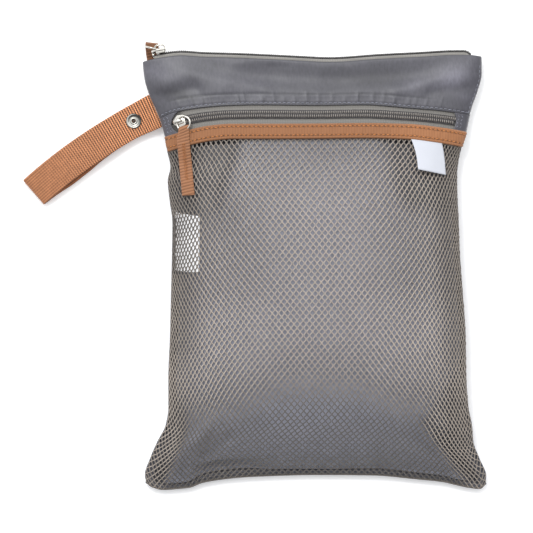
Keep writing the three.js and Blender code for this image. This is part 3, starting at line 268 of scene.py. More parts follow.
def new_object(name, points, faces, material, replaces=(), slot=None, uv=None, shade=None):
    mesh = bpy.data.meshes.new(name)
    points = (np.asarray(points, float).reshape(-1, 3) + SHIFT) * MM
    mesh.from_pydata(points.tolist(), [], [list(map(int, f)) for f in faces])
    mesh.validate()
    if uv is not None:
        layer = mesh.uv_layers.new(name="UVMap")
        index = np.empty(len(mesh.loops), np.int32)
        mesh.loops.foreach_get("vertex_index", index)
        layer.data.foreach_set("uv", np.asarray(uv, float).reshape(-1, 2)[index].ravel())
    if shade is not None:
        layer = mesh.color_attributes.new("shade", "FLOAT_COLOR", "POINT")
        value = np.asarray(shade, float).ravel()
        layer.data.foreach_set("color", np.stack([value, value, value, np.ones_like(value)], -1).ravel())
    mesh.polygons.foreach_set("use_smooth", np.ones(len(mesh.polygons), bool))
    obj = bpy.data.objects.new(name, mesh)
    bpy.context.scene.collection.objects.link(obj)
    mesh.materials.append(material)
    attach(obj, "root")
    if replaces:
        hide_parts(*replaces)
    bag_parts.append(obj)
    return obj


def grid_quads(rows, columns, closed=False):
    """Quads over a grid of points, anticlockwise where columns run right and rows run down."""
    i, j = np.meshgrid(np.arange(rows - 1), np.arange(columns if closed else columns - 1), indexing="ij")
    k = (j + 1) % columns
    quads = [i * columns + j, (i + 1) * columns + j, (i + 1) * columns + k, i * columns + k]
    return np.stack(quads, -1).reshape(-1, 4).tolist()


def slab(outer, inner):
    """A closed shell between two grids of points, as (points, faces)."""
    rows, columns = outer.shape[:2]
    count = rows * columns
    faces = grid_quads(rows, columns)
    faces += [[a + count for a in reversed(face)] for face in faces]
    top, low = list(range(columns)), list(range(count - columns, count))
    left, right = list(range(0, count, columns)), list(range(columns - 1, count, columns))
    rim = [*zip(top[1:], top[:-1]), *zip(low[:-1], low[1:])]
    rim += [*zip(left[:-1], left[1:]), *zip(right[1:], right[:-1])]
    faces += [[b, a, a + count, b + count] for a, b in rim]
    points = np.concatenate([outer.reshape(-1, 3), inner.reshape(-1, 3)])
    return points, faces


def lengths(points):
    """Distances down a grid of points, or along a path."""
    step = np.linalg.norm(np.diff(points, axis=0), axis=-1)
    return np.concatenate([np.zeros_like(step[:1]), np.cumsum(step, axis=0)])


def unit(vectors):
    return vectors / np.maximum(np.linalg.norm(vectors, axis=-1, keepdims=True), 1e-9)


def cloth(name, u, v, top, thick, material, height=front_z, relief=None, **more):
    """A sheet of cloth over a face of the bag. u and v are grids; top is its outer face's distance."""
    outer = lifted(u, v, top, height, relief)
    inner = lifted(u, v, top - thick, height, relief)
    points, faces = slab(outer, inner)
    uv = np.stack([outer[..., 0], -lengths(outer)], -1) / 100
    uv = np.concatenate([uv.reshape(-1, 2)] * 2)
    return new_object(name, points, faces, material, uv=uv, **more)


def merge(parts):
    """Several (points, faces) as one."""
    points, faces, base = [], [], 0
    for p, f in parts:
        p = np.asarray(p).reshape(-1, 3)
        points.append(p)
        faces += [[a + base for a in face] for face in f]
        base += len(p)
    return np.concatenate(points), faces


def tube(path, radius, sides=6, up=(0, 0, 1), flat=1.0, closed=False):
    """A tube along a path; flat squeezes it towards the surface that it lies on."""
    path = np.asarray(path, float)
    if closed:
        ahead, behind = np.roll(path, -1, 0), np.roll(path, 1, 0)
    else:
        ahead, behind = np.vstack([path[1:], path[-1:]]), np.vstack([path[:1], path[:-1]])
    along = unit(ahead - behind)
    up = np.broadcast_to(np.asarray(up, float), path.shape)
    side = unit(np.cross(along, up))
    out = np.cross(side, along)
    angle = np.arange(sides) * 2 * np.pi / sides
    radius = np.broadcast_to(np.asarray(radius, float), len(path))[:, None, None]
    ring = side[:, None] * np.cos(angle)[None, :, None] + out[:, None] * np.sin(angle)[None, :, None] * flat
    points = path[:, None] + ring * radius
    faces = grid_quads(len(path), sides, closed=True)
    last = (len(path) - 1) * sides
    if closed:
        faces += [[last + j, j, (j + 1) % sides, last + (j + 1) % sides] for j in range(sides)]
    else:
        faces += [list(range(sides)), [last + j for j in reversed(range(sides))]]
    return points.reshape(-1, 3), faces


def read_along(values, run, distances):
    """Rows of values, which stand at the distances in run, read at other distances."""
    return np.stack([np.interp(distances, run, column) for column in values.T], -1)


def along_path(path, distances, reach=0.4):
    """Points and directions at distances along a path."""
    run = lengths(path)
    ahead, behind = read_along(path, run, distances + reach), read_along(path, run, distances - reach)
    return read_along(path, run, distances), unit(ahead - behind)


def square_to(way, up):
    """The direction nearest to up that is square to way."""
    return unit(up - way * (up @ way))


def stitches(path, pitch, radius=0.32, fill=0.72, sink=0.1, swing=0.0):
    """A row of sewn stitches: short threads that dive into the cloth at both ends."""
    path = np.asarray(path, float)
    total = lengths(path)[-1]
    count = max(int(total / pitch), 1)
    starts = (np.arange(count) + 0.5) * total / count
    shape = np.array([(-0.5, -1.2), (-0.42, 0.1), (-0.2, 0.85), (0.2, 0.85), (0.42, 0.1), (0.5, -1.2)])
    parts = []
    spots, along = along_path(path, starts)
    for k, (spot, way) in enumerate(zip(spots, along)):
        up = square_to(way, UP)
        side = np.cross(way, up)
        turn = swing * (1 if k % 2 else -1)
        way = way * math.cos(turn) + side * math.sin(turn)
        line = spot + np.outer(shape[:, 0] * pitch * fill, way) + np.outer(shape[:, 1] * radius - sink, up)
        parts.append(tube(line, [radius * 0.6, radius, radius, radius, radius, radius * 0.6], 6, up))
    return merge(parts)


# Materials. Each has its own weave or grain from its nodes, at its real scale. Finishes that read a mesh's
# shade attribute multiply their colour by it, and it carries painted light and shade.


def srgb(red, green, blue):
    def channel(c):
        c /= 255
        return c / 12.92 if c <= 0.04045 else ((c + 0.055) / 1.055) ** 2.4

    return (channel(red), channel(green), channel(blue), 1.0)


SOCKETS = {
    "sheen_weight": "Sheen Weight",
    "sheen_roughness": "Sheen Roughness",
    "specular_ior_level": "Specular IOR Level",
    "metallic": "Metallic",
}


class Finish:
    """A principled material with a few helpers for its nodes."""

    def __init__(self, name, color, roughness, **sockets):
        self.material = bpy.data.materials.new(name)
        self.material.use_nodes = True
        self.tree = self.material.node_tree
        self.shader = self.tree.nodes["Principled BSDF"]
        self.shader.inputs["Base Color"].default_value = color
        self.shader.inputs["Roughness"].default_value = roughness
        for socket, value in sockets.items():
            self.shader.inputs[SOCKETS[socket]].default_value = value
        self.color = color
        self.coordinates = self.node("ShaderNodeTexCoord")

    def node(self, kind, **settings):
        made = self.tree.nodes.new(kind)
        for key, value in settings.items():
            if key in made.inputs:
                made.inputs[key].default_value = value
            else:
                setattr(made, key, value)
        return made

    def link(self, out, into):
        self.tree.links.new(out, into)

    def mapped(self, space="UV", scale=(1, 1, 1), turn=0.0):
        mapping = self.node("ShaderNodeMapping")
        mapping.inputs["Scale"].default_value = scale
        mapping.inputs["Rotation"].default_value = (0, 0, turn)
        self.link(self.coordinates.outputs[space], mapping.inputs["Vector"])
        return mapping.outputs["Vector"]

    def noise(self, scale, detail=3.0, space="Object", stretch=(1, 1, 1), turn=0.0):
        made = self.node("ShaderNodeTexNoise", Scale=scale, Detail=detail)
        self.link(self.mapped(space, stretch, turn), made.inputs["Vector"])
        return made.outputs["Fac"]

    def wave(self, scale, turn=0.0, space="UV", distortion=0.0, profile="SIN"):
        made = self.node("ShaderNodeTexWave", Scale=scale, Distortion=distortion, wave_profile=profile)
        self.link(self.mapped(space, turn=turn), made.inputs["Vector"])
        return made.outputs["Fac"]

    def math(self, operation, a, b):
        made = self.node("ShaderNodeMath", operation=operation)
        for k, value in enumerate((a, b)):
            if isinstance(value, (int, float)):
                made.inputs[k].default_value = value
            else:
                self.link(value, made.inputs[k])
        return made.outputs[0]

    def shades(self, factor, dark, light, low=0.3, high=0.7):
        """Base colour between two shares of the finish's colour."""
        ramp = self.node("ShaderNodeValToRGB")
        for element, at, share in zip(ramp.color_ramp.elements, (low, high), (dark, light)):
            element.position = at
            share = share if hasattr(share, "__len__") else (share, share, share)
            element.color = [*(c * s for c, s in zip(self.color[:3], share)), 1]
        self.link(factor, ramp.inputs["Fac"])
        return ramp.outputs["Color"]

    def paint(self, color):
        self.link(color, self.shader.inputs["Base Color"])

    def multiply(self, a, b, factor=1.0):
        mix = self.node("ShaderNodeMix", data_type="RGBA", blend_type="MULTIPLY")
        mix.inputs[0].default_value = factor
        self.link(a, mix.inputs[6])
        self.link(b, mix.inputs[7])
        return mix.outputs[2]

    # The shade attribute is painted light and shade, made for each mesh in this script.
    def attribute(self, name="shade"):
        return self.node("ShaderNodeAttribute", attribute_name=name).outputs["Color"]

    def bumps(self, *layers):
        """layers are (height, strength, distance in metres)."""
        normal = None
        for height, strength, distance in layers:
            made = self.node("ShaderNodeBump", Strength=strength, Distance=distance)
            self.link(height, made.inputs["Height"])
            if normal is not None:
                self.link(normal, made.inputs["Normal"])
            normal = made.outputs["Normal"]
        self.link(normal, self.shader.inputs["Normal"])
        return self

    def rough(self, factor, low, high):
        made = self.node("ShaderNodeMapRange")
        made.inputs["To Min"].default_value = low
        made.inputs["To Max"].default_value = high
        self.link(factor, made.inputs["Value"])
        self.link(made.outputs["Result"], self.shader.inputs["Roughness"])


def satin(name, color, roughness=0.42):
    finish = Finish(name, color, roughness, sheen_weight=0.25, sheen_roughness=0.4, specular_ior_level=0.6)
    twill = finish.math(
        "MULTIPLY", finish.wave(55, turn=math.radians(35)), finish.wave(50, turn=math.radians(-55))
    )
    grain = finish.noise(620, 2, stretch=(1, 0.4, 1), turn=math.radians(35))
    color = finish.multiply(finish.shades(finish.noise(45, 4), 0.94, 1.06), finish.attribute())
    finish.color = (1, 1, 1, 1)
    finish.paint(finish.multiply(color, finish.shades(grain, 0.86, 1.14)))
    finish.rough(finish.noise(160, 2), roughness - 0.04, roughness + 0.06)
    finish.bumps((finish.noise(60, 3), 0.12, 0.0008), (twill, 0.3, 0.00006))
    return finish.material


def woven(name, color, roughness):
    finish = Finish(name, color, roughness, sheen_weight=0.2, specular_ior_level=0.3)
    scale = 100 / 6.2832  # a thread each 0.9 mm
    weave = finish.math("MULTIPLY", finish.wave(scale), finish.wave(scale, turn=math.pi / 2))
    finish.paint(finish.multiply(finish.shades(weave, 0.86, 1.06, 0.0, 0.8), finish.attribute()))
    finish.bumps((weave, 0.5, 0.0001), (finish.noise(220, 2), 0.1, 0.0002))
    return finish.material


def plain(name, color, roughness, noise, dark, light, shaded=False, **sockets):
    """A finish with faint mottling; noise is its scale and detail. When shaded, its colour is also multiplied
    by the mesh's painted light and shade.
    """
    finish = Finish(name, color, roughness, **sockets)
    mottled = finish.shades(finish.noise(*noise), dark, light)
    finish.paint(finish.multiply(mottled, finish.attribute()) if shaded else mottled)
    return finish.material


GREY_SATIN = satin("grey_satin", srgb(78, 77, 84))
# The cloth behind the net is a much lighter grey than the yoke's: painted light, standing in for the light on
# it where it lies flat and faces up.
PANEL_SATIN = satin("panel_satin", srgb(140, 142, 154), 0.4)
BACK_CLOTH = satin("back_cloth", srgb(92, 92, 99), 0.5)

NET_YARN = plain(
    "net_yarn", srgb(176, 164, 152), 0.6, (300, 2), 0.86, 1.12, True,
    sheen_weight=0.3, specular_ior_level=0.45,
)

ZIP_TAPE = woven("zip_tape", srgb(135, 132, 127), 0.8)
ZIP_COIL = plain("zip_coil", srgb(140, 134, 128), 0.45, (400, 1), 0.85, 1.1, specular_ior_level=0.4)
RIDGE_COIL = plain("ridge_coil", srgb(70, 68, 66), 0.5, (400, 1), 0.8, 1.15, specular_ior_level=0.3)
# Dark finish for the strips under the coils, where it shows as painted shade between their loops, and for the
# cords along the pocket zip's coil.
ZIP_DARK = plain("zip_groove", srgb(74, 72, 74), 0.7, (300, 1), 0.85, 1.15)

binding = Finish("binding", srgb(148, 100, 66), 0.7, sheen_weight=0.25, specular_ior_level=0.3)
ribs = binding.wave(14.5, distortion=0.6)
mixed = binding.math("ADD", ribs, binding.noise(120, 3))
binding.paint(binding.multiply(binding.shades(mixed, 0.92, 1.05, 0.5, 1.5), binding.attribute()))
binding.bumps((ribs, 0.14, 0.0001), (binding.noise(250, 3), 0.25, 0.0002))
BINDING = binding.material

ribbon = Finish("ribbon", srgb(152, 106, 76), 0.75, sheen_weight=0.25, specular_ior_level=0.25)
cross = ribbon.wave(13.5, turn=math.radians(82), distortion=0.5)
ribs = ribbon.shades(ribbon.math("ADD", cross, ribbon.noise(150, 3)), 0.66, 1.16, 0.4, 1.5)
ribbon.paint(ribbon.multiply(ribs, ribbon.attribute()))
ribbon.bumps((cross, 0.8, 0.0003), (ribbon.noise(300, 2), 0.2, 0.0002))
RIBBON = ribbon.material

web = Finish("webbing", srgb(186, 124, 84), 0.62, sheen_weight=0.2, specular_ior_level=0.35)
web.paint(web.multiply(web.shades(web.noise(260, 3), 0.86, 1.1), web.attribute()))
web.bumps((web.noise(420, 2), 0.3, 0.0002))
WEBBING = web.material

GOLD_THREAD = plain("golden_thread", srgb(196, 122, 56), 0.5, (500, 1), 0.8, 1.15, sheen_weight=0.2)
GREY_THREAD = plain("grey_thread", srgb(126, 127, 139), 0.5, (500, 1), 0.8, 1.15, sheen_weight=0.2)

metal = Finish("nickel", srgb(205, 202, 194), 0.2, metallic=1.0)
metal.rough(metal.noise(90, 3), 0.14, 0.3)
metal.bumps((metal.noise(140, 2), 0.06, 0.0003))
NICKEL = metal.material
# Nickel for the snap's cap, its colour multiplied by painted light and shade.
SNAP_NICKEL_PAINTED_LIGHT = plain("snap_nickel_painted_light", srgb(200, 198, 190), 0.3, (200, 2), 0.9, 1.05, True, metallic=1.0)
# A dark finish for the ball in the snap's hole: painted shade.
SNAP_HOLE_PAINTED_SHADE = plain("snap_hole_painted_shade", srgb(64, 54, 46), 0.5, (200, 1), 0.7, 1.1)


def label_satin(name, color, glow=0.0):
    label = Finish(name, color, 0.55, sheen_weight=0.2)
    label.paint(label.shades(label.noise(60, 2), 0.97, 1.02))
    label.bumps((label.wave(60), 0.15, 0.00005), (label.noise(80, 2), 0.1, 0.0005))
    # A glow above zero paints light onto the label, which is no lamp.
    label.shader.inputs["Emission Color"].default_value = (1, 1, 1, 1)
    label.shader.inputs["Emission Strength"].default_value = glow
    return label.material


LABEL = label_satin("label_satin", srgb(206, 209, 217))
# The care label is given a painted glow.
LABEL_PAINTED_GLOW = label_satin("label_satin_painted_glow", srgb(250, 250, 252), 0.25)


# The pouch's two panels.


def spread(count, sharp=1.6):
    """Places from -1 to 1, closer together towards both ends."""
    t = np.linspace(-1, 1, count)
    return np.sign(t) * (1 - (1 - np.abs(t)) ** sharp)


def foot(u, v):
    """The hollow along the middle of the bottom seam, where the net stands clear of the cloth: 0 to 1."""
    across = smoothstep(u, -0.76, -0.62) * (1 - 0.7 * smoothstep(u, -0.5, -0.2)) * smoothstep(u, 0.65, 0.35)
    return smoothstep(v, 0.952, 0.972) * across


def net_gap(u, v):
    """How far the net stands off the panel behind it."""
    top = 1 - smoothstep(v, 0.3, 0.42)
    left = (1 - smoothstep(u + 0.9 * (v - 0.2), -0.6, -0.42)) * top
    right = smoothstep(u - 0.7 * (v - 0.2), 0.36, 0.62) * top
    gap = 0.5 + 4.2 * np.maximum(left, right)
    gap = gap + 2.6 * smoothstep(u, -0.8, -0.97) * (1 - top)
    gap = gap + (1.0 + 2.0 * smoothstep(v, 0.68, 0.82)) * smoothstep(u, 0.8, 0.96) * (1 - top)
    low = smoothstep(v + 0.05 * u * u, 0.76, 0.93)
    ears = smoothstep(v * 0.9 + 0.16 * np.abs(u), 0.9, 0.97)
    return np.minimum(gap + 1.6 * low + 1.8 * ears + 2.8 * foot(u, v), 7.0)


def panel_depth(u, v):
    below = (v - hem_v(u)) * PANEL_HEIGHT
    at_hem = 1 - smoothstep(v * PANEL_HEIGHT, 6, 12)
    at_zip = smoothstep(below, -10, -4) * (1 - smoothstep(below, ZIP_SHOW + 4, ZIP_SHOW + 13))
    in_pocket = smoothstep(below, ZIP_SHOW, ZIP_SHOW + 8)
    zone = 1.3 * np.maximum(at_hem, at_zip) + 1.1 * at_zip
    return CLOTH + 0.8 + zone + net_gap(u, v) * in_pocket


def make_panels():
    u = spread(121)
    v = 0.5 + spread(141, 1.4) / 2
    v_grid, u_grid = np.meshgrid(v, u, indexing="ij")

    def soft(u, v):
        ripple = np.sin(u * 9 + 2 * np.sin(v * 7)) * np.sin(v * 11 + u * 2)
        return 0.25 * ripple * smoothstep(np.abs(u), 0.75, 0.95) * smoothstep(np.abs(u), 1, 0.95)

    back = cloth(
        "pouch_back", u_grid, v_grid, CLOTH, CLOTH, BACK_CLOTH, back_z, replaces=("back_panel",),
        slot="grey_cloth", shade=np.ones(2 * u_grid.size),
    )

    reach = 0.975
    v_in = 0.003 + v_grid * 0.994
    depth = panel_depth(u_grid * reach, v_in)
    gap = net_gap(u_grid * reach, v_in)
    left, right = ears(u_grid * reach, v_in)
    low = low_middle(u_grid * reach, v_in)
    # Painted light and shade on the cloth behind the net: painted shade where the net stands off it and at
    # the lower corners, painted light where it turns down to the bottom seam.
    panel_painted_light = painted_face_shade(u_grid * reach, v_in) * (1 - 0.62 * smoothstep(gap, 0.8, 4.2) * (1 - low))
    panel_painted_light = panel_painted_light * (1 + 0.82 * low) * (1 - 0.45 * np.maximum(left, right))
    front = cloth(
        "pouch_front", u_grid * reach, v_in, -depth, CLOTH, PANEL_SATIN, relief=soft,
        replaces=("front_panel",), slot="grey_cloth", shade=np.concatenate([panel_painted_light.ravel(), panel_painted_light.ravel()]),
    )


PUCKERS = [
    (u, rng.uniform(0.7, 1.3), rng.uniform(0.008, 0.016), rng.uniform(8, 15))
    for u in np.arange(-0.86, 0.86, 0.075) + rng.uniform(-0.022, 0.022, 23)
]


ALLOWANCE = 8.7  # how far up the yoke the seam allowance inside it reaches
NEEDLE_ABOVE = 1.7  # the needle line's distance from the hem


def over_allowance(u):
    """1 along the part of the hem where the seam allowance shows through, 0 at its ends."""
    return smoothstep(u, -0.93, -0.85) * smoothstep(u, 0.8, 0.66)


def yoke_relief(u, v):
    """The seam allowance inside the yoke's hem, the puckers along it, and the cloth's broad swells."""
    above = (hem_v(u) - v) * PANEL_HEIGHT
    below = v * PANEL_HEIGHT
    inside = over_allowance(u)
    relief = 0.16 * smoothstep(above, 8.8, 7.2) * inside
    relief = relief - 0.16 * bump(above, 8.8, 0.9) * inside
    relief = relief - 0.3 * bump(above, NEEDLE_ABOVE, 0.8)
    for at, size, width, reach in PUCKERS:
        along = smoothstep(above, 1.5, 4) * smoothstep(above, reach, reach * 0.6)
        relief = relief + 0.3 * size * bump(u, at, width) * along
    middle = smoothstep(u, -0.75, -0.3) * smoothstep(u, 0.85, 0.55)
    broad = middle * (0.55 * bump(below, 26, 6.5) - 1.2 * bump(below, 14, 8))
    broad = broad + 1.9 * smoothstep(u, -0.35, -0.85) * bump(below, 22, 9.5)
    broad = broad + 1.9 * smoothstep(u, 0.6, 0.86) * bump(below, 23 - 22 * (u - 0.75), 9)
    broad = broad + 0.5 * bump(u + 1.6 * v, -0.42, 0.07) - 0.4 * bump(u + 1.6 * v, -0.2, 0.08)
    broad = broad + 0.35 * bump(u - 1.2 * v, 0.2, 0.08) + 0.3 * bump(u + 0.8 * v, 0.06, 0.05)
    inner = smoothstep(above, 2, 11) * smoothstep(below, 0, 6)
    return relief + broad * inner * smoothstep(np.abs(u), 0.995, 0.88)


# The yoke's painted lights and shades, standing in for its satin's sheen and the shade of its folds: the
# middle's x and y, half length, half width, turn in degrees, amount
YOKE_PAINTED_LIGHTS = [
    (110, 157, 22, 8, 35, 0.48), (112.6, 152.8, 14, 6, 10, 0.8), (104.7, 162.3, 16, 6, 0, 0.12),
    (78.6, 147.3, 9, 5, 35, 0.4), (97.6, 141.8, 8, 4, 0, -0.32), (118, 139.4, 7, 4, 0, 0.36),
    (128, 136, 9, 8, 60, 0.25), (-124.4, 160.5, 13, 7, 0, 0.5), (-111, 155.2, 10, 4.5, 0, 0.3),
    (-113, 141, 16, 6, -10, -0.12), (-104.6, 141, 16, 4.5, -8, -0.36), (-84.9, 160.7, 18, 8, 0, -0.18),
    (-62, 146, 26, 7, -25, 0.1), (6, 144.9, 36, 6, 0, -0.22), (10, 156, 55, 7, 0, -0.12),
    (49.4, 152.8, 28, 8, 0, -0.27), (86, 156, 16, 7, 0, -0.1), (101, 152, 24, 8, 0, 0.15),
    (92, 146.5, 18, 5, 0, 0.1), (-129, 159, 8, 6, 0, 0.14), (37, 152, 30, 5, 0, -0.08),
]


def yoke_painted_light(u, v):
    """Painted light and shade on the yoke: the table's broad painted lights and shades, painted shade in the
    puckers' hollows beside painted light, and painted shade along the needle line, the hem, the line where
    the seam allowance ends and the top hem.
    """
    above = (hem_v(u) - v) * PANEL_HEIGHT
    below = v * PANEL_HEIGHT
    inside = over_allowance(u)
    x, y = plan_x(u, v), plan_y(u, v)
    tone = np.ones_like(x)
    for at_x, at_y, long, wide, turn, amount in YOKE_PAINTED_LIGHTS:
        c, s = math.cos(math.radians(turn)), math.sin(math.radians(turn))
        along, across = (x - at_x) * c + (y - at_y) * s, (y - at_y) * c - (x - at_x) * s
        tone = tone + amount * np.exp(-((along / long) ** 2) - (across / wide) ** 2)
    for at, size, width, reach in PUCKERS:
        side = bump(u, at + 0.55 * width, 0.5 * width) - 0.6 * bump(u, at - 0.5 * width, 0.5 * width)
        along = smoothstep(above, 1.5, 3) * smoothstep(above, reach * 0.95, reach * 0.55)
        tone = tone - 0.3 * size * side * along
    tone = tone - 0.38 * bump(above, ALLOWANCE, 0.6) * inside
    tone = tone - 0.5 * bump(above, NEEDLE_ABOVE, 0.55) - 0.3 * bump(above, 0.2, 0.4)
    return np.maximum(tone - 0.4 * bump(below, 0.1, 0.8), 0.15)


U_WINDOW_LEFT = float(u_from_left(WINDOW_LEFT, YOKE_HEIGHT / PANEL_HEIGHT))
U_WINDOW_RIGHT = float(u_from_right(WINDOW_RIGHT, YOKE_HEIGHT / PANEL_HEIGHT))


def make_yoke():
    u = spread(241, 1.25)
    share = np.linspace(0, 1, 49)
    s_grid, u_grid = np.meshgrid(share, u, indexing="ij")
    v_grid = s_grid * hem_v(u_grid)
    turned = 0.35 * smoothstep(v_grid * PANEL_HEIGHT, 1.2, 0)
    parts, shells, shades = [], [], []
    outer = lifted(u_grid, v_grid, -turned, relief=yoke_relief)
    inner = lifted(u_grid, v_grid, -CLOTH, relief=yoke_relief)
    parts.append(slab(outer, inner))
    shells.append(outer)
    shades.append(yoke_painted_light(u_grid, v_grid))
    for low, high, fillet in ((-1, U_WINDOW_LEFT, 0.065), (1, U_WINDOW_RIGHT, -0.02)):
        s_grid, t_grid = np.meshgrid(np.linspace(0, 1, 24), np.linspace(0, 1, 14), indexing="ij")
        inner_edge = high + fillet * np.abs(2 * s_grid - 1) ** 2.2
        u_leg = low + (inner_edge - low) * (t_grid if low < high else 1 - t_grid)
        v_leg = hem_v(u_leg) * (1 - s_grid) + band_v(u_leg, 2.5) * s_grid
        v_leg = v_leg + 0.02 / PANEL_HEIGHT
        outer = lifted(u_leg, v_leg, 0.0)
        parts.append(slab(outer, lifted(u_leg, v_leg, -CLOTH)))
        shells.append(outer)
        shades.append(np.ones_like(u_leg))
    points, faces = merge(parts)
    uv, shade = [], []
    for outer, value in zip(shells, shades):
        flat = (np.stack([outer[..., 0], outer[..., 1]], -1) / 100).reshape(-1, 2)
        uv += [flat, flat]
        shade += [value.ravel(), value.ravel()]
    uv, shade = np.concatenate(uv), np.concatenate(shade)
    yoke = new_object("yoke", points, faces, GREY_SATIN, ("front_yoke",), "grey_cloth", uv=uv, shade=shade)

    rows = []
    u = np.linspace(-0.985, 0.985, 300)
    rows.append(stitches(lifted(u, hem_v(u, -NEEDLE_ABOVE), 0.0), 3.6, 0.36, fill=0.66))
    for edge, outward in ((U_WINDOW_LEFT, -1), (U_WINDOW_RIGHT, 1)):
        for gap in (0.012, 0.034):
            u = np.full(20, edge + outward * gap)
            s = np.linspace(0.06, 0.92, 20)
            v = hem_v(u) * (1 - s) + band_v(u) * s
            rows.append(stitches(lifted(u, v, 0.05), 2.4, 0.28, swing=0.5))
    v = np.linspace(0.02, 0.135, 60)
    rows.append(stitches(lifted(u_from_right(2.0, v), v, 0.0), 3.4, 0.28))
    new_object("yoke_stitches", *merge(rows), GREY_THREAD, slot="grey_cloth")


# The net.

NET_COLUMN = 4.83
NET_ROW = 3.06
NET_ROW_LOW = 2.36
NET_SIDES = 6
NET_TOP = 0.15  # where its rows are counted from, down the bag
YARN = 0.44
SPREAD = 1.27
# the folds that bound the two lower corners, each from its top down, in the plan
LEFT_FOLD = ((-101.8, -103.2), (-96.4, -121.3), (-110.5, -160.5))
RIGHT_FOLD = ((99.9, -93.0), (82.6, -118.1), (103.8, -147.2))


def beyond(x, y, start, end):
    """The distance of places of the plan from a line, positive on its left."""
    (x0, y0), (x1, y1) = start, end
    return ((x1 - x0) * (y - y0) - (y1 - y0) * (x - x0)) / math.hypot(x1 - x0, y1 - y0)


def ears(u, v):
    """The two lower corners, where the net is drawn up off the cloth: each from 0 to 1."""
    x, y = plan_x(u, v), plan_y(u, v)
    top, middle, low = LEFT_FOLD
    left = np.minimum(beyond(x, y, middle, top), beyond(x, y, low, middle))
    top, middle, low = RIGHT_FOLD
    right = np.minimum(beyond(x, y, middle, low), -beyond(x, y, middle, top))
    return smoothstep(left, -3, 9) * smoothstep(-y, 94, 104), smoothstep(right, -3, 7)


def painted_face_shade(u, v):
    """Painted shade on the face: darker at its sides, under the band and where it turns down to the bottom
    seam.
    """
    turn = v - 0.04 * smoothstep(np.abs(u), 0.2, 0.55)
    tone = 0.98 * (1 - 0.2 * smoothstep(turn, 0.63, 0.77)) * (1 - 0.34 * smoothstep(v, 0.34, 0.18))
    lower = smoothstep(v, 0.66, 0.76)
    tone = tone * (1 - 0.42 * smoothstep(-u, 0.7, 0.93) * (1 - 0.7 * lower))
    tone = tone * (1 - 0.4 * smoothstep(u, 0.76, 0.93) * (1 - 0.6 * lower))
    upper = smoothstep(v, 0.24, 0.36) * smoothstep(v, 0.64, 0.5)
    tone = tone * (1 - 0.2 * smoothstep(np.abs(u - 0.05), 0.1, 0.62) * upper)
    tone = tone * (1 - 0.2 * smoothstep(-u, 0.45, 0.65) * smoothstep(v, 0.46, 0.36))
    return tone * (1 - 0.1 * smoothstep(u, 0.5, 0.7) * smoothstep(v, 0.42, 0.34))


def low_middle(u, v):
    """The part of the face that turns down to the bottom seam, between the corners."""
    left, right = ears(u, v)
    turn = v - 0.035 * smoothstep(np.abs(u), 0.2, 0.55)
    return smoothstep(turn, 0.74, 0.84) * (1 - np.maximum(left, right)) * (1 - 0.4 * foot(u, v))


def strand_u(share, v):
    """Strands are evenly spaced over the net's flat middle and crowd together towards its sides."""
    wide = SPREAD * (right_seam(0.5) - left_seam(0.5)) / (right_seam(v) - left_seam(v))
    reach = np.abs(share)
    return np.sign(share) * (wide * reach - (wide - 1) * reach**3.2)


def net_rows():
    """How many rows of knots the net has, and where each is down the bag: closer together near its foot."""
    v = np.linspace(NET_TOP, 1, 500)
    row = NET_ROW - (NET_ROW - NET_ROW_LOW) * smoothstep(v, 0.8, 0.92)
    count = np.concatenate([[0], np.cumsum(np.diff(v) * PANEL_HEIGHT / ((row[1:] + row[:-1]) / 2))])
    rows = int(round(count[-1]))
    return rows, lambda at: (np.interp(at * count[-1] / rows, count, v) - NET_TOP) / (1 - NET_TOP)


def net_lift(u, v):
    """Where the net lies along the face's normal: it is drawn straight across the hollows at its edges."""
    low_left = bump(u, -0.93, 0.09) * bump(v, 0.875, 0.045)
    low_right = bump(u, 0.95, 0.08) * bump(v, 0.865, 0.05)
    edge = np.clip((1 - np.abs(u)) / 0.06, 0, 1)
    sides = 0.2 * np.sin(v * 210 + np.sin(v * 61) * 2) * bump(np.abs(u), 0.97, 0.05)
    left, right = ears(u, v)
    return -0.45 - 1.2 * (low_left + low_right) * edge + sides + 0.7 * (left + right) * edge


def yarn_painted_light(u, v, leaning):
    """The yarn's painted light and shade. leaning is 1 where a strand runs down to the right, -1 where it
    runs to the left.
    """
    left, right = ears(u, v)
    # Painted shade where the face is darker, where it turns down, at the foot and over the care label.
    tone = painted_face_shade(u, v) * (1 - 0.68 * low_middle(u, v)) * (1 - 0.15 * foot(u, v))
    on_label = smoothstep(-u, 0.8, 0.83) * smoothstep(v, 0.362, 0.37) * smoothstep(v, 0.503, 0.495)
    tone = tone * (1 - 0.45 * on_label)
    # Strands leaning one way get painted light and the others painted shade, the way changing from place to
    # place.
    swap = 1 - 2 * smoothstep(v, 0.5, 0.78)
    catch = -np.sign(u) * smoothstep(np.abs(u), 0.1, 0.55) * swap * (1 - 0.5 * smoothstep(np.abs(u), 0.9, 1))
    catch = catch + 0.35 * (right - left)
    patches = np.sin(u * 11 + 3 * np.sin(v * 9)) * np.sin(v * 14 + 2 * np.sin(u * 5))
    return tone * (1 + (0.25 * catch + 0.08 * patches) * leaning)


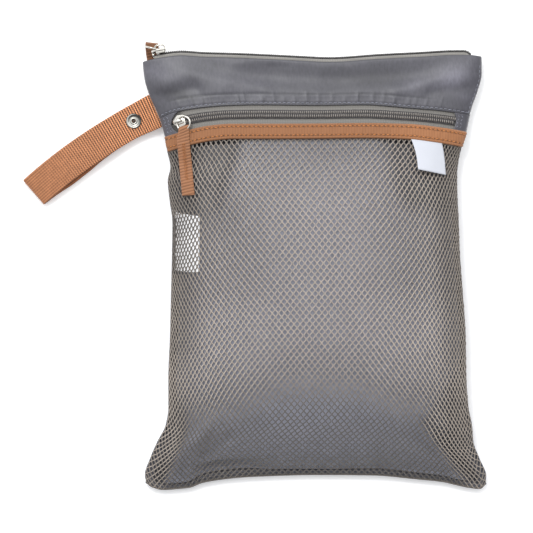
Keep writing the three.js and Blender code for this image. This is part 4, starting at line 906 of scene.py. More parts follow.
def make_net():
    width = BAG_WIDTH * (right_seam(0.5) - left_seam(0.5)) * SPREAD
    count = 2 * int(round(width / NET_COLUMN))
    rows, down = net_rows()
    strands = []
    knot = 0.26
    steps = np.arange(rows + 1)
    positions = np.repeat(steps.astype(float), 2)
    positions[0::2] -= knot
    positions[1::2] += knot
    hand_at_row = np.repeat(np.where(steps % 2 == 0, 1, -1), 2)
    half = 1 / count
    past_knot = np.where(np.arange(len(positions)) % 2 == 0, 1, -1)
    for k in range(count):
        centre = -1 + (2 * k + 1) * half
        side = hand_at_row * (1 if k % 2 else -1)
        share = down(np.clip(positions, 0, rows))
        top = band_v(np.clip(centre, -1, 1), 3.0)
        v = top + (0.9985 - top) * share
        u = strand_u(centre + side * half * 0.62, v)
        free = (1 - np.abs(u) ** 3) * smoothstep(v, 0.18, 0.24) * smoothstep(v, 1, 0.94)
        warp = 0.0035 * np.sin(v * 13 + u * 2.1) + 0.002 * np.sin(u * 7 - v * 21)
        rise = 0.003 * smoothstep(-u, 0.75, 1) + 0.0085 * smoothstep(u, 0.75, 1)
        u = np.clip(u + warp * free + rng.normal(0, 0.0005, len(u)), -0.9975, 0.9975)
        v = v - rise * smoothstep(v, 0.2, 0.3) * smoothstep(v, 1, 0.93)
        tone = yarn_painted_light(u, v, side * past_knot)
        strands.append((lifted(u, v, net_lift(u, v)), tone))
    return strands


def build_net():
    strands = make_net()
    # The painted light and shade round a strand: one flank in painted shade, its crown lit, the other flank
    # and its underside in painted shade.
    around = np.array([0.4, 1.2, 1.2, 0.4, 0.3, 0.3])
    half = len(strands) // 2
    for name, chosen in (("net_left", strands[:half]), ("net_right", strands[half:])):
        points, faces = merge([tube(path, YARN, NET_SIDES, flat=0.8) for path, _ in chosen])
        shade = np.concatenate([(tone[:, None] * around).ravel() for _, tone in chosen])
        piece = new_object(name, points, faces, NET_YARN, slot="net_yarn", shade=shade)
        if name == "net_left":
            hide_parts("pocket_net")
    # The cord along the net's foot: the yarn in painted shade.
    u = np.linspace(-0.995, 0.995, 300)
    points, faces = tube(lifted(u, np.full_like(u, 0.998), -0.4), 0.6, 6)
    new_object("net_selvedge", points, faces, NET_YARN, slot="net_yarn", shade=np.full(len(points), 0.35))


def make_band():
    u = spread(521, 1.1)
    across = np.linspace(0, 1, 29)
    a_grid, u_grid = np.meshgrid(across, u, indexing="ij")
    u_grid = u_grid + (0.008 + 0.006 * a_grid) * smoothstep(u_grid, -0.9, -1)
    u_grid = u_grid - 0.009 * smoothstep(u_grid, 0.9, 1)
    v_grid = band_v(u_grid, a_grid * BAND_WIDTH)
    edge = np.minimum(a_grid, 1 - a_grid) * BAND_WIDTH
    swell = 1.15 * np.sqrt(1 - (1 - np.clip(edge / 1.3, 0, 1)) ** 2)
    groove = -0.28 * bump(edge, 2.6, 0.55)
    ripple = 0.12 * np.sin(u_grid * 88 + 1.5 * np.sin(u_grid * 23)) * smoothstep(edge, 2.5, 5)
    outer = lifted(u_grid, v_grid, 0.45 + swell + groove + ripple)
    inner = lifted(u_grid, v_grid, 0.4)
    points, faces = slab(outer, inner)
    uv = np.stack([outer[..., 0], -a_grid * BAND_WIDTH], -1) / 100
    uv = np.concatenate([uv.reshape(-1, 2)] * 2)
    # Painted shade along the stitch rows, deepest at the needle holes, and along the band's edges; painted
    # light towards the band's right end.
    needle = 0.5 + 0.5 * np.cos(2 * np.pi * outer[..., 0] / 3.5)
    shade = 1 - (0.3 + 0.45 * needle) * bump(edge, 2.75, 0.6) - 0.25 * bump(edge, 0, 0.5)
    shade = shade * (1 + 0.24 * smoothstep(outer[..., 0], 50, 85))
    shade = np.concatenate([shade.ravel(), np.ones(shade.size)])
    looks = {"slot": "brown_band", "uv": uv, "shade": shade}
    band = new_object("binding_band", points, faces, BINDING, ("pocket_band",), **looks)
    rows = []
    for below in (2.5, BAND_WIDTH - 3.0):
        u = np.linspace(-0.975, 0.985, 400)
        rows.append(stitches(lifted(u, band_v(u, below), 1.3), 3.5, 0.36, fill=0.6, swing=0.2))
    new_object("band_stitches", *merge(rows), GOLD_THREAD, slot="brown_band")


# The zips.

TOOTH_PITCH = 1.65
COILS = ((-1.45, 0.0), (1.45, 0.5))  # each side's distance from the zip's line, and where its loops start
TAPE_LEVEL = -CLOTH - 0.5


def strip(name, u, near, far, top, thick, material, count=7, **more):
    share = np.linspace(0, 1, count)
    s_grid, u_grid = np.meshgrid(share, u, indexing="ij")
    v_grid = near(u_grid) * (1 - s_grid) + far(u_grid) * s_grid
    return cloth(name, u_grid, v_grid, top, thick, material, **more)


def tooth(spot, way, up, length, width, height):
    """One loop of a zip's coil, lying across it."""
    side = np.cross(up, way)
    shape = np.array([(-0.5, -0.5), (-0.34, 0.6), (0, 1.0), (0.34, 0.6), (0.5, -0.5)])
    line = spot + np.outer(shape[:, 0] * length, side) + np.outer(shape[:, 1] * height, up)
    return tube(line, [width * 0.7, width, width, width, width * 0.7], 6, up)


def coil(path, phase, out, *size):
    """One side of a zip's coil along a path; size is each loop's length, width and height."""
    spots, along = along_path(path, np.arange(phase, lengths(path)[-1] - 0.5, TOOTH_PITCH))
    return [tooth(spot, way, square_to(way, out), *size) for spot, way in zip(spots, along)]


def make_pocket_zip():
    at = (YOKE_HEIGHT + ZIP_CENTRE) / PANEL_HEIGHT
    left, right = float(u_from_left(WINDOW_LEFT - 1.8, at)), float(u_from_right(WINDOW_RIGHT - 1.8, at))
    u = np.linspace(left, right, 160)
    top = TAPE_LEVEL
    # Painted shade on the tapes towards their left end, where they run into the end of the yoke's window.
    ends = smoothstep(plan_x(u, np.full_like(u, at)), -106.5, -101.5)
    shade = np.tile(0.42 + 0.58 * ends, 14)
    cloth_args = {"slot": "zip_tape", "shade": shade}
    upper = strip(
        "tape_upper", u, lambda a: hem_v(a, -4), lambda a: zip_v(a, -0.4), top, 0.8, ZIP_TAPE,
        replaces=("pocket_tape_upper",), **cloth_args,
    )
    lower = strip(
        "tape_lower", u, lambda a: zip_v(a, 0.4), lambda a: band_v(a, 4), top, 0.8, ZIP_TAPE,
        replaces=("pocket_tape_lower",), **cloth_args,
    )
    start = float(u_from_left(15.0, at))
    end = float(u_from_right(WINDOW_RIGHT + 0.5, at))
    u = np.linspace(start, end, 200)
    # The dark strip under the coil shows as painted shade between its loops.
    strip(
        "zip_bed", u, lambda a: zip_v(a, -3.0), lambda a: zip_v(a, 3.0), top + 0.9, 0.6, ZIP_DARK,
        slot="zip_coil",
    )
    teeth = []
    for offset, phase in COILS:
        teeth += coil(lifted(u, zip_v(u, offset), top + 1.25), phase, UP, 2.1, 0.52, 0.75)
    new_object("zip_coil", *merge(teeth), ZIP_COIL, ("pocket_zip_chain",), "zip_coil")
    cords = []
    for offset in (-0.25, 0.25, -3.1, 3.1):
        cords.append(tube(lifted(u, zip_v(u, offset), top + (1.3 if abs(offset) < 1 else 0.9)), 0.3, 6))
    new_object("zip_cords", *merge(cords), ZIP_DARK, slot="zip_coil")


def ridge_line(u):
    """The top zip's line: the hem's y, the two hems' heights and the middle between them."""
    front = lifted(u, np.zeros_like(u), -CLOTH - 0.7)[..., 2]
    back = lifted(u, np.zeros_like(u), CLOTH + 0.7, back_z)[..., 2]
    return top_y(u), front, back, (front + back) / 2


def make_top_zip():
    left, right = float(u_from_left(9.5, 0)), float(u_from_right(8.5, 0))
    u = np.linspace(left, right, 180)
    hem, front, back, middle = ridge_line(u)
    hem = hem - 2.6 * smoothstep(right - u, 0.05, 0) ** 2
    x = plan_x(u, np.zeros_like(u))
    parts = []
    for hand, z in ((1, front), (-1, back)):
        rows = []
        face = hem + 1.9
        path = [
            (hem - 5.0, z), (hem - 0.5, z), (face - 1.3, z - hand * 0.1), (face - 0.5, z - hand * 0.6),
            (face, z - hand * 1.4), (face + 0.1, middle + hand * 1.0),
        ]
        for y, height in path:
            rows.append(np.stack([x, y, height * np.ones_like(x)], -1))
        outer = np.stack(rows)
        if hand < 0:
            outer = outer[::-1]
        thick = np.gradient(outer, axis=0)
        normal = unit(np.cross(np.array([1.0, 0, 0]), -thick))
        parts.append(slab(outer + normal * 0.35, outer - normal * 0.35))
    for name, part, node in zip(("ridge_front", "ridge_back"), parts, ("top_tape_front", "top_tape_back")):
        points, faces = part
        uv = np.stack([points[:, 0], points[:, 2] + points[:, 1]], -1) / 100
        new_object(name, points, faces, ZIP_TAPE, (node,), "zip_tape", uv=uv, shade=np.ones(len(points)))

    def line_from(start):
        """The line from a place to its right end: x, the coil's foot and the middle's height."""
        u = np.linspace(start, right, 200)
        hem, _, _, middle = ridge_line(u)
        return plan_x(u, np.zeros_like(u)), hem + 2.4 - 2.6 * smoothstep(right - u, 0.05, 0) ** 2, middle

    x, base, middle = line_from(float(u_from_left(14.0, 0)))
    teeth = []
    out = np.array([0.0, 1.0, 0.0])
    for offset, phase in COILS:
        teeth += coil(np.stack([x, base + 0.35, middle + offset], -1), phase, out, 2.5, 0.64, 1.2)
    new_object("ridge_coil", *merge(teeth), RIDGE_COIL, ("top_zip_chain",), "zip_coil")
    x, base, middle = line_from(float(u_from_left(8.5, 0)))
    # The dark strip under the top coil shows as painted shade between its loops.
    bed = np.stack([np.stack([x, base, middle + z], -1) for z in (3.0, 1.5, 0, -1.5, -3.0)])
    new_object("ridge_bed", *slab(bed + out * 0.25, bed - out * 0.25), ZIP_DARK, slot="zip_coil")


# The sliders, rings and pull tabs. A slider's own frame has x along its zip to the closed chain and z up
# from the tapes' outer face.

SLIDER_LENGTH = 9.6
RING_RADIUS = 5.4
RING_WIRE = 1.5
PLATE_BOTTOM, PLATE_TOP = 2.4, 3.4
RING_HEIGHT = 4.75


def prism(outline, levels):
    """A solid from an outline, convex and anticlockwise, and levels of (height, inset)."""
    outline = np.asarray(outline, float)
    ahead, behind = np.roll(outline, -1, 0), np.roll(outline, 1, 0)
    one, two = unit(ahead - outline), unit(outline - behind)
    normal = unit(np.stack([one[:, 1] + two[:, 1], -one[:, 0] - two[:, 0]], 1))
    stretch = 1 / np.maximum((normal * np.stack([one[:, 1], -one[:, 0]], 1)).sum(1, keepdims=True), 0.4)
    count = len(outline)
    rings = [np.column_stack([outline - normal * stretch * inset, np.full(count, z)]) for z, inset in levels]
    faces = [list(reversed(range(count)))]
    for k in range(len(rings) - 1):
        for j in range(count):
            i = (j + 1) % count
            faces.append([k * count + j, k * count + i, (k + 1) * count + i, (k + 1) * count + j])
    faces.append([(len(rings) - 1) * count + j for j in range(count)])
    return np.concatenate(rings), faces


def rounded(corners, radius, steps=4):
    """A convex outline with its corners rounded."""
    corners = np.asarray(corners, float)
    points = []
    for k, corner in enumerate(corners):
        before, after = corners[k - 1], corners[(k + 1) % len(corners)]
        a, b = corner + unit(before - corner) * radius, corner + unit(after - corner) * radius
        for t in np.linspace(0, 1, steps):
            points.append(a * (1 - t) ** 2 + 2 * corner * t * (1 - t) + b * t * t)
    return points


def smooth_levels(low, high, bevel):
    turn = np.radians([0, 30, 60, 90])
    up = [(low + bevel * (1 - math.sin(t)), bevel * (1 - math.cos(t))) for t in reversed(turn)]
    return up + [(high - bevel * (1 - math.sin(t)), bevel * (1 - math.cos(t))) for t in turn]


def mirrored(side):
    """A convex outline from the half of it where y is negative."""
    return side + [(x, -y) for x, y in reversed(side)]


def slider_parts():
    half = SLIDER_LENGTH / 2
    top = mirrored([(-half, -1.6), (-half + 3.9, -5.0), (half - 0.9, -4.4), (half, -3.5)])
    parts = [prism(rounded(top, 0.45, 3), smooth_levels(PLATE_BOTTOM - 0.5, PLATE_TOP, 0.42))]
    crown = mirrored([(-3.9, -2.0), (-2.6, -3.0), (3.4, -2.4), (4.1, -1.4)])
    levels = [(PLATE_TOP - 0.2, 0), (PLATE_TOP + 0.2, 0.1), (PLATE_TOP + 0.42, 0.75)]
    parts.append(prism(rounded(crown, 0.4, 3), levels))
    under = mirrored([(-half + 0.6, -2.7), (half - 0.4, -2.7)])
    parts.append(prism(rounded(under, 0.7, 4), smooth_levels(-1.9, -1.1, 0.3)))
    post = mirrored([(-half + 0.2, -0.5), (-half + 1.8, -0.5)])
    parts.append(prism(post, [(-1.5, 0), (PLATE_BOTTOM, 0)]))
    for hand in (-1, 1):
        side = [(x, y + hand * 3.75) for x, y in mirrored([(-1.8, -0.42), (3.9, -0.42)])]
        parts.append(prism(rounded(side, 0.2, 3), smooth_levels(0.5, PLATE_BOTTOM, 0.2)))
    return parts


def bridge_part():
    """The arch that holds the ring: a flat bar, thicker in its middle."""
    t = np.linspace(0, np.pi, 25)
    reach, rise = 3.3, 3.1
    square = 0.62
    x = -1.2 - reach * np.sign(np.cos(t)) * np.abs(np.cos(t)) ** square
    z = PLATE_TOP - 0.2 + rise * np.abs(np.sin(t)) ** square
    path = np.column_stack([x, np.zeros_like(x), z])
    width = 1.0 + 0.35 * np.sin(t)
    ahead, behind = np.vstack([path[1:], path[-1:]]), np.vstack([path[:1], path[:-1]])
    along = unit(ahead - behind)
    across = np.array([0, 1.0, 0])
    out = np.cross(along, across)
    angle = np.arange(10) * 2 * np.pi / 10 + np.pi / 10
    cs = np.sign(np.cos(angle)) * np.abs(np.cos(angle)) ** 0.7
    sn = np.sign(np.sin(angle)) * np.abs(np.sin(angle)) ** 0.7
    sections = path[:, None] + cs[None, :, None] * across * width[:, None, None]
    sections = sections + sn[None, :, None] * out[:, None] * 0.52
    faces = grid_quads(len(path), 10, closed=True)
    faces += [list(range(10)), [(len(path) - 1) * 10 + j for j in reversed(range(10))]]
    return sections.reshape(-1, 3), faces


def ring_part(centre, turn, radius, tilt):
    t = np.arange(56) * 2 * np.pi / 56
    path = np.column_stack([radius * np.cos(t), radius * np.sin(t), np.zeros_like(t)])
    turned = np.array([[math.cos(turn), -math.sin(turn), 0], [math.sin(turn), math.cos(turn), 0], [0, 0, 1]])
    path = path @ turned.T
    path[:, 2] += math.tan(tilt) * (path[:, 0] * math.cos(turn) + path[:, 1] * math.sin(turn))
    return tube(path + centre, RING_WIRE / 2, 10, closed=True)


def framed(part, origin, along, up):
    along = square_to(up, along)
    basis = np.stack([along, np.cross(up, along), up], 1)
    return part[0] @ basis.T + origin, part[1]


def add_metal(prefix, origin, along, up, turn, tilt=0.0, ahead=0.0, size=1.0, radius=RING_RADIUS, inward=0.0):
    """A slider with its ring, which lies turned about the bridge and tilted; returns the ring's middle."""
    parts = [(part[0] * size, part[1]) for part in slider_parts()]
    bridge = bridge_part()
    parts.append((bridge[0] * size + [ahead, 0, 0], bridge[1]))
    body = merge([framed(part, origin, along, up) for part in parts])
    new_object(f"{prefix}_slider_body", *body, NICKEL, (f"{prefix}_slider",), "nickel")
    angle = math.radians(turn)
    out = -1.2 + ahead + radius * math.cos(angle) - inward
    centre = np.array([out, radius * math.sin(angle), RING_HEIGHT * size])
    ring = framed(ring_part(centre, angle, radius, tilt), origin, along, up)
    new_object(f"{prefix}_ring", *ring, NICKEL, (f"{prefix}_pull_ring",), "nickel")
    return framed((centre[None], []), origin, along, up)[0][0]


def ribbon_mesh(points, sides, widths, thick, columns=15, step=0.7, cup=0.0):
    """A ribbon along points, with its width's direction and size at each."""
    points, sides = np.asarray(points, float), np.asarray(sides, float)
    run = lengths(points)
    spots = np.linspace(0, run[-1], max(int(run[-1] / step), 8))

    def read(values):
        rows = np.column_stack([run, values])
        return np.stack([curve(rows, k + 1)(spots) for k in range(rows.shape[1] - 1)], -1)

    middle, side, width = read(points), unit(read(sides)), read(widths)[:, 0]
    along = unit(np.gradient(middle, axis=0))
    up = unit(np.cross(along, side))
    across = np.linspace(-0.5, 0.5, columns)
    grid = middle[:, None] + side[:, None] * (across[None, :, None] * width[:, None, None])
    half = thick / 2 * (1 - 0.75 * np.clip((np.abs(across) * 2 - 0.86) / 0.14, 0, 1) ** 2)
    bend = cup * (across * 2) ** 2
    outer = grid + up[:, None] * (half - bend)[None, :, None]
    inner = grid + up[:, None] * (-half - bend)[None, :, None]
    part = slab(outer, inner)
    uv = np.stack(np.broadcast_arrays(across[None] * width[:, None], -spots[:, None]), -1) / 100
    return part, np.concatenate([uv.reshape(-1, 2)] * 2), (middle, side, up)


def make_pocket_pull():
    at = (YOKE_HEIGHT + ZIP_CENTRE) / PANEL_HEIGHT
    u = float(u_from_left(15.2, at))
    spots = u + np.array([-0.024, 0, 0.024])
    low, high = (lifted(spots, zip_v(spots), TAPE_LEVEL + k) for k in (0, 1))
    along = unit(low[2] - low[0])
    up = square_to(along, high[1] - low[1])
    centre = add_metal("pocket", low[1], along, up, -28, inward=0.2)

    lean = math.radians(-84.5)
    heading = np.array([math.cos(lean), math.sin(lean), 0])
    right = np.array([-heading[1], heading[0], 0])
    width, length = 10.0, 56.5
    fold_at = 3.4

    def rest_height(out):
        spot = centre + heading * out
        heights = []
        for share in (-0.5, 0, 0.5):
            here = spot + right * share * width
            a, b = find_uv(here[0], here[1])
            past = (b - band_v(a, BAND_WIDTH)) * PANEL_HEIGHT
            on_band = 1 - float(smoothstep(past, 0.3, 9))
            heights.append(float(front_z(a, b)) + 0.5 + 1.6 * on_band)
        return max(heights[1], (heights[0] + heights[2]) / 2)

    ring_low = centre[2] - 1.5
    ring_high = centre[2] + 1.3
    stations = []
    outs = [length, 46, 38, 30, 23, 17, 12.5, 9.5, 7.2, fold_at + 0.6]
    for out in outs:
        rest = rest_height(out)
        near = 1 - float(smoothstep(out, 6, 20))
        stations.append((out, max(rest, rest * (1 - near) + ring_low * near), width if out > 8 else 8.8))
    radius = (ring_high - ring_low) / 2
    for angle in (-60, -20, 20, 60):
        t = math.radians(angle)
        height = (ring_low + ring_high) / 2 + radius * math.sin(t)
        stations.append((fold_at - 1.3 * math.cos(t) + 0.3, height, 8.4))
    for out in reversed(outs):
        rest = rest_height(out) + 1.15
        near = 1 - float(smoothstep(out, 6, 22))
        wide = width - 1.6 * (1 - float(smoothstep(out, 3, 11)))
        stations.append((out + 0.4, max(rest, rest * (1 - near) + ring_high * near), wide))
    shifts = [right * -1.4 * float(smoothstep(out, 2, 14)) for out, _, _ in stations]
    points = []
    for (out, z, _), shift in zip(stations, shifts):
        points.append((centre + heading * out + shift) * [1, 1, 0] + [0, 0, z])
    sides = []
    for out, _, _ in stations:
        tip = 0.22 * (1 - float(smoothstep(out, 3, 16)))
        sides.append(right + heading * -tip)
    widths = [w for _, _, w in stations]
    part, uv, lines = ribbon_mesh(points, sides, widths, 0.8, cup=0.12)
    shade = np.ones(len(part[0]))
    piece = new_object("pocket_tab", *part, RIBBON, ("pocket_pull_tab",), "brown_ribbon", uv=uv, shade=shade)

    # The tack that holds the fold: a dense zigzag down the middle.
    middle, side, normal = lines
    distances = np.linalg.norm((middle - centre)[:, :2], axis=1)
    upper = np.arange(len(middle)) > len(middle) // 2
    chosen = np.where(upper & (distances > 16) & (distances < 45))[0]
    path = middle[chosen] + normal[chosen] * 0.55
    run = lengths(path)
    ticks = np.arange(0, run[-1], 0.62)
    line = read_along(path, run, ticks)
    sway = np.where(np.arange(len(ticks)) % 2 == 0, 1, -1) * 1.35 + rng.uniform(-0.15, 0.15, len(ticks))
    line = line + read_along(side[chosen], run, ticks) * sway[:, None]
    new_object("pocket_tab_tack", *tube(line, 0.26, 6, flat=0.8), GOLD_THREAD, slot="brown_ribbon")


def make_top_pull():
    u = float(u_from_left(13.4, 0))
    spots = u + np.array([-0.024, 0, 0.024])
    hem, _, _, middle = ridge_line(spots)
    line = np.column_stack([plan_x(spots, np.zeros(3)), hem + 3.1, middle * np.ones(3)])
    along = unit(line[2] - line[0])
    out = np.cross(UP, along)
    tilt = math.radians(25)
    centre = add_metal("top", line[1], along, out, 172, tilt, ahead=2.6, size=1.2, radius=5.9)

    # The tab hangs on the ring's lowest wire, then lies on the table under the bag's corner.
    heading = np.array([0.0, -1.0, 0])
    aside = np.array([1.0, 0, 0])
    right = np.array([1.0, -0.12, 0])
    middle_at = centre + np.array([-0.9, 3.4, 0])
    stations = [
        (48, 0.8), (30, 0.8), (12, 0.8), (5, 0.8), (1.2, 1.0), (-0.9, 1.9), (-1.6, 3.1), (-1.2, 4.4),
        (0.2, 5.2), (2.4, 4.6), (5.5, 3.2), (9, 2.2), (16, 1.9), (30, 1.9), (48, 1.9),
    ]
    points = [
        (middle_at + heading * reach + aside * 0.009 * max(reach, 0) ** 2) * [1, 1, 0] + [0, 0, z]
        for reach, z in stations
    ]
    sides = [right + [0, 0.018 * max(reach, 0), 0] for reach, _ in stations]
    part, uv, _ = ribbon_mesh(points, sides, [10.3] * len(points), 0.8)
    # The tab is in painted shade, where it lies under the bag's corner.
    shade = np.full(len(part[0]), 0.6)
    piece = new_object("top_tab", *part, RIBBON, ("top_pull_tab",), "brown_ribbon", uv=uv, shade=shade)


# The wrist strap and its snap.

STRAP_WIDTH = 25.4
STRAP_LENGTH = 117.0
STRAP_THICK = 1.6
STRAP_FOLD = 1.9
STRAP_DOWN = 0.1115
SNAP_AT = 19.8
RIB_PITCH = 2.05
FLOAT_PITCH = STRAP_WIDTH / 13
# share of the way out, height of the webbing's middle as a share of the depth; the lower layer's also has
# its shift to the side as a share of the width
STRAP_UPPER = [
    (0, 0.25), (0.05, 0.235), (0.1, 0.207), (0.22, 0.207), (0.33, 0.225), (0.5, 0.262), (0.7, 0.268),
    (0.85, 0.225), (1, 0.155),
]
STRAP_LOWER = [
    (0, 0.08, 0.0), (0.08, 0.077, -0.015), (0.24, 0.077, -0.02), (0.36, 0.04, -0.02), (0.5, 0.0236, 0.01),
    (0.62, 0.0236, 0.06), (0.75, 0.0236, 0.075), (0.9, 0.0325, 0.02), (1, 0.0432, 0),
]
upper_height = curve(STRAP_UPPER, 1)
lower_height, lower_shift = curve(STRAP_LOWER, 1), curve(STRAP_LOWER, 2)


def strap_place(out, shift):
    """Plan positions and side directions at distances along the strap."""
    out = np.atleast_1d(np.asarray(out, float))
    steps = (np.arange(24) + 0.5) / 24
    heading = np.radians(207 + 14 * out[:, None] * steps / STRAP_LENGTH)
    x = BAG_WIDTH * left_seam(STRAP_DOWN) + out * np.cos(heading).mean(1)
    y = plan_y(-1, STRAP_DOWN) + out * np.sin(heading).mean(1)
    end = np.radians(207 + 14 * out / STRAP_LENGTH)
    side = np.stack([-np.sin(end), np.cos(end)], 1)
    return np.stack([x, y], 1) + side * np.asarray(shift)[..., None], side


def weave(s, w):
    """The webbing's height and its painted light and shade at places along and across it: ribs across, pinned
    by floats.
    """
    rib_turn, float_turn = np.pi * s / RIB_PITCH, np.pi * w / FLOAT_PITCH
    rib = 0.5 + 0.5 * np.cos(2 * rib_turn)
    spots = 0.5 + 0.5 * np.cos(2 * float_turn) * np.sin(rib_turn)
    height = rib * 0.8 + (1 - rib) * (1 - spots) * 0.6
    # The ribs get painted highlights and the hollows between them painted shade, fainter further out.
    lines = np.cos(2 * rib_turn + 0.9 * np.sin(2 * float_turn))
    strong = 1 - 0.45 * smoothstep(s, 26, 60)
    shade = np.clip(0.82 + 1.4 * strong * lines * (0.7 + 0.3 * spots), 0.04, 2.2)
    # Towards the fold the ribs give way to lines along the strap, with painted light on their ridges and
    # painted shade between them.
    ridge = np.abs(np.cos(float_turn))
    flat = smoothstep(s, 62, 112)
    lined = 0.35 + 0.5 * ridge + 0.15 * height
    return height * (1 - flat) + lined * flat, shade * (1 - flat) + (0.42 + 0.5 * ridge + 0.1 * shade) * flat


def make_strap():
    out = np.linspace(0.4, STRAP_LENGTH - STRAP_FOLD, 240)
    high = BAG_DEPTH * upper_height(out / STRAP_LENGTH)
    ends = BAG_DEPTH * upper_height(1), max(BAG_DEPTH * lower_height(1), STRAP_THICK / 2)
    radius, middle = (ends[0] - ends[1]) / 2, (ends[0] + ends[1]) / 2
    turn = np.radians(np.linspace(85, -85, 14))
    back = np.linspace(STRAP_LENGTH - STRAP_FOLD, 3.5, 240)
    low = np.maximum(BAG_DEPTH * lower_height(back / STRAP_LENGTH), STRAP_THICK / 2 + 0.05)
    outs = np.concatenate([out, STRAP_LENGTH - STRAP_FOLD + STRAP_FOLD * np.cos(turn), back])
    heights = np.concatenate([high, middle + radius * np.sin(turn), low])
    shifts = np.concatenate([np.zeros(len(out) + len(turn)), STRAP_WIDTH * lower_shift(back / STRAP_LENGTH)])
    plan, side = strap_place(outs, shifts)
    line = np.column_stack([plan, heights])
    run = lengths(line)
    spots = np.arange(0, run[-1], 0.42)
    line, side = read_along(line, run, spots), read_along(side, run, spots)
    side = unit(np.column_stack([side, np.zeros(len(side))]))

    # The sewn end is cut along the bag's seam.
    lip = np.array([plan_x(-1, STRAP_DOWN - 0.03) - plan_x(-1, STRAP_DOWN + 0.03), 0.06 * PANEL_HEIGHT])
    way = unit(-(plan[1] - plan[0]))
    slant = (lip @ way) / (lip @ side[0, :2])
    across = np.linspace(-0.5, 0.5, 65) * STRAP_WIDTH
    along = unit(np.gradient(line, axis=0))
    up = unit(np.cross(along, side))
    fade = smoothstep(spots, 16, 0)
    flare = 1 + 0.15 * smoothstep(spots, 28, 0)[:, None] * (across > 0)
    grid = line[:, None] + side[:, None] * (across * flare)[..., None]
    grid = grid - along[:, None] * (fade[:, None] * slant * across[None, :])[..., None]
    s_grid, w_grid = np.meshgrid(spots, across, indexing="ij")
    relief, shade = weave(s_grid, w_grid)
    edge = np.clip((STRAP_WIDTH / 2 - np.abs(w_grid)) / 0.8, 0, 1)
    half = (STRAP_THICK / 2 - 0.4 + 0.45 * relief) * (0.35 + 0.65 * np.sqrt(edge))
    outer = grid + up[:, None] * half[..., None]
    inner = grid - up[:, None] * half[..., None]
    points, faces = slab(outer, inner)
    shade = np.concatenate([shade.ravel(), shade.ravel()])
    uv = np.concatenate([np.stack([w_grid, -s_grid], -1).reshape(-1, 2) / 100] * 2)
    looks = {"slot": "brown_webbing", "uv": uv, "shade": shade}
    piece = new_object("webbing", points, faces, WEBBING, ("wrist_strap",), **looks)


def lathe(profile, centre, segments=48):
    profile = np.asarray(profile, float)
    angle = np.arange(segments) * 2 * np.pi / segments
    x = np.outer(profile[:, 0], np.cos(angle)) + centre[0]
    y = np.outer(profile[:, 0], np.sin(angle)) + centre[1]
    rings = np.stack([x, y, np.repeat(profile[:, 1:2], segments, 1)], -1)
    faces = [list(reversed(f)) for f in grid_quads(len(profile), segments, closed=True)]
    faces.append([(len(profile) - 1) * segments + j for j in range(segments)])
    faces.append(list(reversed(range(segments))))
    return rings.reshape(-1, 3), faces


def make_snap():
    plan, _ = strap_place(SNAP_AT, 0.0)
    top = BAG_DEPTH * float(upper_height(SNAP_AT / STRAP_LENGTH)) + STRAP_THICK / 2 + 0.1
    low = BAG_DEPTH * float(lower_height(SNAP_AT / STRAP_LENGTH)) - STRAP_THICK / 2 - 0.1
    rise = [(6.0, -0.35), (6.05, 0.1), (6.0, 0.42), (5.8, 0.68), (5.5, 0.9), (5.1, 0.95), (4.7, 0.84)]
    dish = [(3.9, 0.42), (3.2, 0.12), (2.95, 0.14), (2.8, 0.5), (2.5, 0.9), (2.15, 1.02), (1.75, 0.9)]
    hole = [(1.45, 0.6), (1.3, 0.2), (1.25, -0.7), (1.2, -1.2)]
    profile = [(r, top + z) for r, z in [*rise, *dish, *hole]]
    cap, faces = lathe(profile, plan[0])
    radius = np.hypot(cap[:, 0] - plan[0][0], cap[:, 1] - plan[0][1])
    # Painted light on the cap's rim towards the lower left and painted shade towards its upper right; painted
    # shade in the groove inside the rim and in the hole.
    facing = (-(cap[:, 0] - plan[0][0]) - (cap[:, 1] - plan[0][1])) / np.maximum(radius, 0.1) / math.sqrt(2)
    shade = np.where(radius > 4.2, 0.5 + 0.42 * facing, 0.95)
    shade = np.where(radius < 1.7, 0.2, shade) * (1 - 0.45 * bump(radius, 3.9, 0.35))
    new_object("snap_cap", cap, faces, SNAP_NICKEL_PAINTED_LIGHT, ("snap_socket",), "nickel", shade=shade)
    # A dark ball fills the hole: painted shade.
    ball = [(1.2, top - 0.3), (1.1, top + 0.1), (0.6, top + 0.26), (0.05, top + 0.3)]
    new_object("snap_hole_painted_shade", *lathe(ball, plan[0], 24), SNAP_HOLE_PAINTED_SHADE, slot="nickel")
    foot = [(5.5, 0.2), (6.0, 0), (6.0, -0.25), (5.6, -0.6), (4.6, -0.75), (0.05, -0.75)]
    foot = [(r, low + z) for r, z in foot]
    new_object("snap_foot", *lathe(foot, plan[0]), NICKEL, ("snap_stud",), "nickel")


# The two labels, both bare.


TAG_CORNERS = np.array([(75.6, 108.2), (100.4, 105.6), (103.3, 77.0), (81.3, 80.8)])
CARE_TOP, CARE_LENGTH, CARE_REACH = 123.0, 42.5, 21.6  # down from the top hem, and in from the left seam


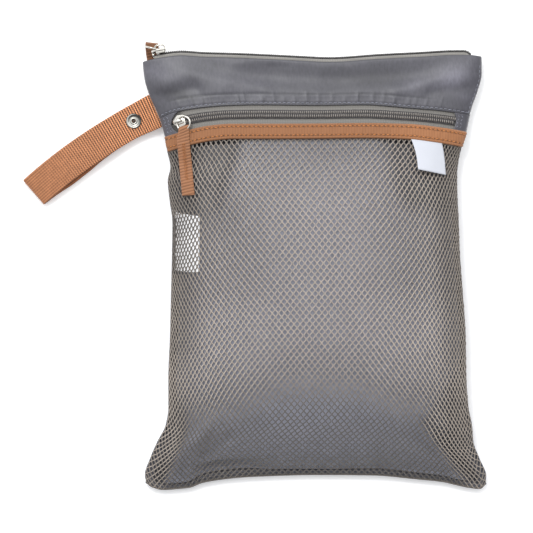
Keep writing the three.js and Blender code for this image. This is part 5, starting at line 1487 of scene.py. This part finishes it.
def make_labels():
    s, t = np.meshgrid(np.linspace(0, 1, 25), np.linspace(0, 1, 25))
    bilinear = [(1 - s) * (1 - t), s * (1 - t), s * t, (1 - s) * t]
    plan = sum(weight[..., None] * corner for weight, corner in zip(bilinear, TAG_CORNERS))
    plan[..., 0] += np.sin(np.pi * t) * (1.5 * (1 - s) + 0.9 * s)
    u, v = find_uv(plan[..., 0], plan[..., 1])
    lift = 0.35 + 2.4 * t * (1 - s) ** 1.5 + 1.3 * t**2 + 0.5 * np.sin(np.pi * s) * t
    outer, inner = lifted(u, v, lift + 0.45), lifted(u, v, lift)
    points, faces = slab(outer, inner)
    uv = np.concatenate([np.stack([s, -t], -1).reshape(-1, 2) * 0.26] * 2)
    piece = new_object("tag", points, faces, LABEL, ("sewn_tag",), "white_label", uv=uv)

    s, t = np.meshgrid(np.linspace(0, 1, 25), np.linspace(0, 1, 41))
    slope = (-4.8 * (1 - t) - 1.9 * t) * (1 - s) + (0.5 + 0.3 * t) * s
    v = (CARE_TOP + CARE_LENGTH * t + slope) / PANEL_HEIGHT
    u = -0.982 + (u_from_left(CARE_REACH, v) + 0.982) * s
    depth = panel_depth(u, v)
    lift = np.maximum(depth - 1.85 - 0.15 * np.sin(t * 9) * s, 0.1)
    outer, inner = lifted(u, v, -depth + lift + 0.4), lifted(u, v, -depth + lift)
    points, faces = slab(outer, inner)
    uv = np.concatenate([np.stack([s * 0.22, -t * 0.45], -1).reshape(-1, 2)] * 2)
    looks = {"slot": "white_label", "uv": uv}
    piece = new_object("care_label_cloth", points, faces, LABEL_PAINTED_GLOW, ("care_label",), **looks)


make_panels()
make_yoke()
build_net()
make_band()
make_pocket_zip()
make_top_zip()
make_pocket_pull()
make_top_pull()
make_strap()
make_snap()
make_labels()


# The stage: a pale table, soft light from the upper left, and the camera straight above.


TABLE_HALF = 3.0  # metres, as is all of the stage
LENS, SENSOR = 135, 36
CAMERA_AT = (0.00883, 0.0017)
CAMERA_FOCUS = 0.010
# place, size, power in watts
KEY_LIGHT = ((-0.42, 0.9, 1.55), 0.5, 11)
FILL_LIGHT = ((0.7, 0.9, 1.5), 1.2, 4)


def make_stage():
    mesh = bpy.data.meshes.new("table")
    corners = [(x * TABLE_HALF, y * TABLE_HALF, -0.0004) for x, y in ((-1, -1), (1, -1), (1, 1), (-1, 1))]
    mesh.from_pydata(corners, [], [(0, 1, 2, 3)])
    table = bpy.data.objects.new("table", mesh)
    bpy.context.scene.collection.objects.link(table)
    finish = Finish("table_white", (0.97, 0.97, 0.97, 1), 0.9, specular_ior_level=0.1)
    finish.paint(finish.shades(finish.noise(3, 2), 0.995, 1.0))
    finish.shader.inputs["Emission Color"].default_value = (1, 1, 1, 1)
    finish.shader.inputs["Emission Strength"].default_value = 0.25
    mesh.materials.append(finish.material)

    world = bpy.data.worlds.new("studio")
    bpy.context.scene.world = world
    world.use_nodes = True
    tree = world.node_tree
    direction = tree.nodes.new("ShaderNodeTexCoord")
    slope = tree.nodes.new("ShaderNodeVectorMath")
    slope.operation = "DOT_PRODUCT"
    slope.inputs[1].default_value = (-0.3, 0.9, 0.3)
    ramp = tree.nodes.new("ShaderNodeMapRange")
    ramp.interpolation_type = "SMOOTHSTEP"
    for socket, value in (("From Min", -0.7), ("From Max", 0.9), ("To Min", 0.12), ("To Max", 1.45)):
        ramp.inputs[socket].default_value = value
    tree.links.new(direction.outputs["Generated"], slope.inputs[0])
    tree.links.new(slope.outputs["Value"], ramp.inputs["Value"])
    tree.links.new(ramp.outputs["Result"], tree.nodes["Background"].inputs["Strength"])
    tree.nodes["Background"].inputs["Color"].default_value = (0.97, 0.98, 1.0, 1)

    def area(name, place, size, power):
        light = bpy.data.lights.new(name, "AREA")
        light.shape = "DISK"
        light.size = size
        light.energy = power
        obj = bpy.data.objects.new(name, light)
        bpy.context.scene.collection.objects.link(obj)
        obj.location = place
        aim = -np.array(place)
        yaw = math.atan2(aim[1], aim[0])
        pitch = math.acos(-aim[2] / np.linalg.norm(aim))
        obj.rotation_euler = (pitch, 0, yaw - math.pi / 2)

    area("key", *KEY_LIGHT)
    area("fill", *FILL_LIGHT)

    camera = bpy.data.cameras.new("camera")
    camera.lens = LENS
    camera.sensor_width = SENSOR
    obj = bpy.data.objects.new("camera", camera)
    bpy.context.scene.collection.objects.link(obj)
    obj.location = (*CAMERA_AT, PHOTO_MM * MM * LENS / SENSOR + CAMERA_FOCUS)
    bpy.context.scene.camera = obj
    bpy.context.scene.view_settings.view_transform = "Standard"


make_stage()
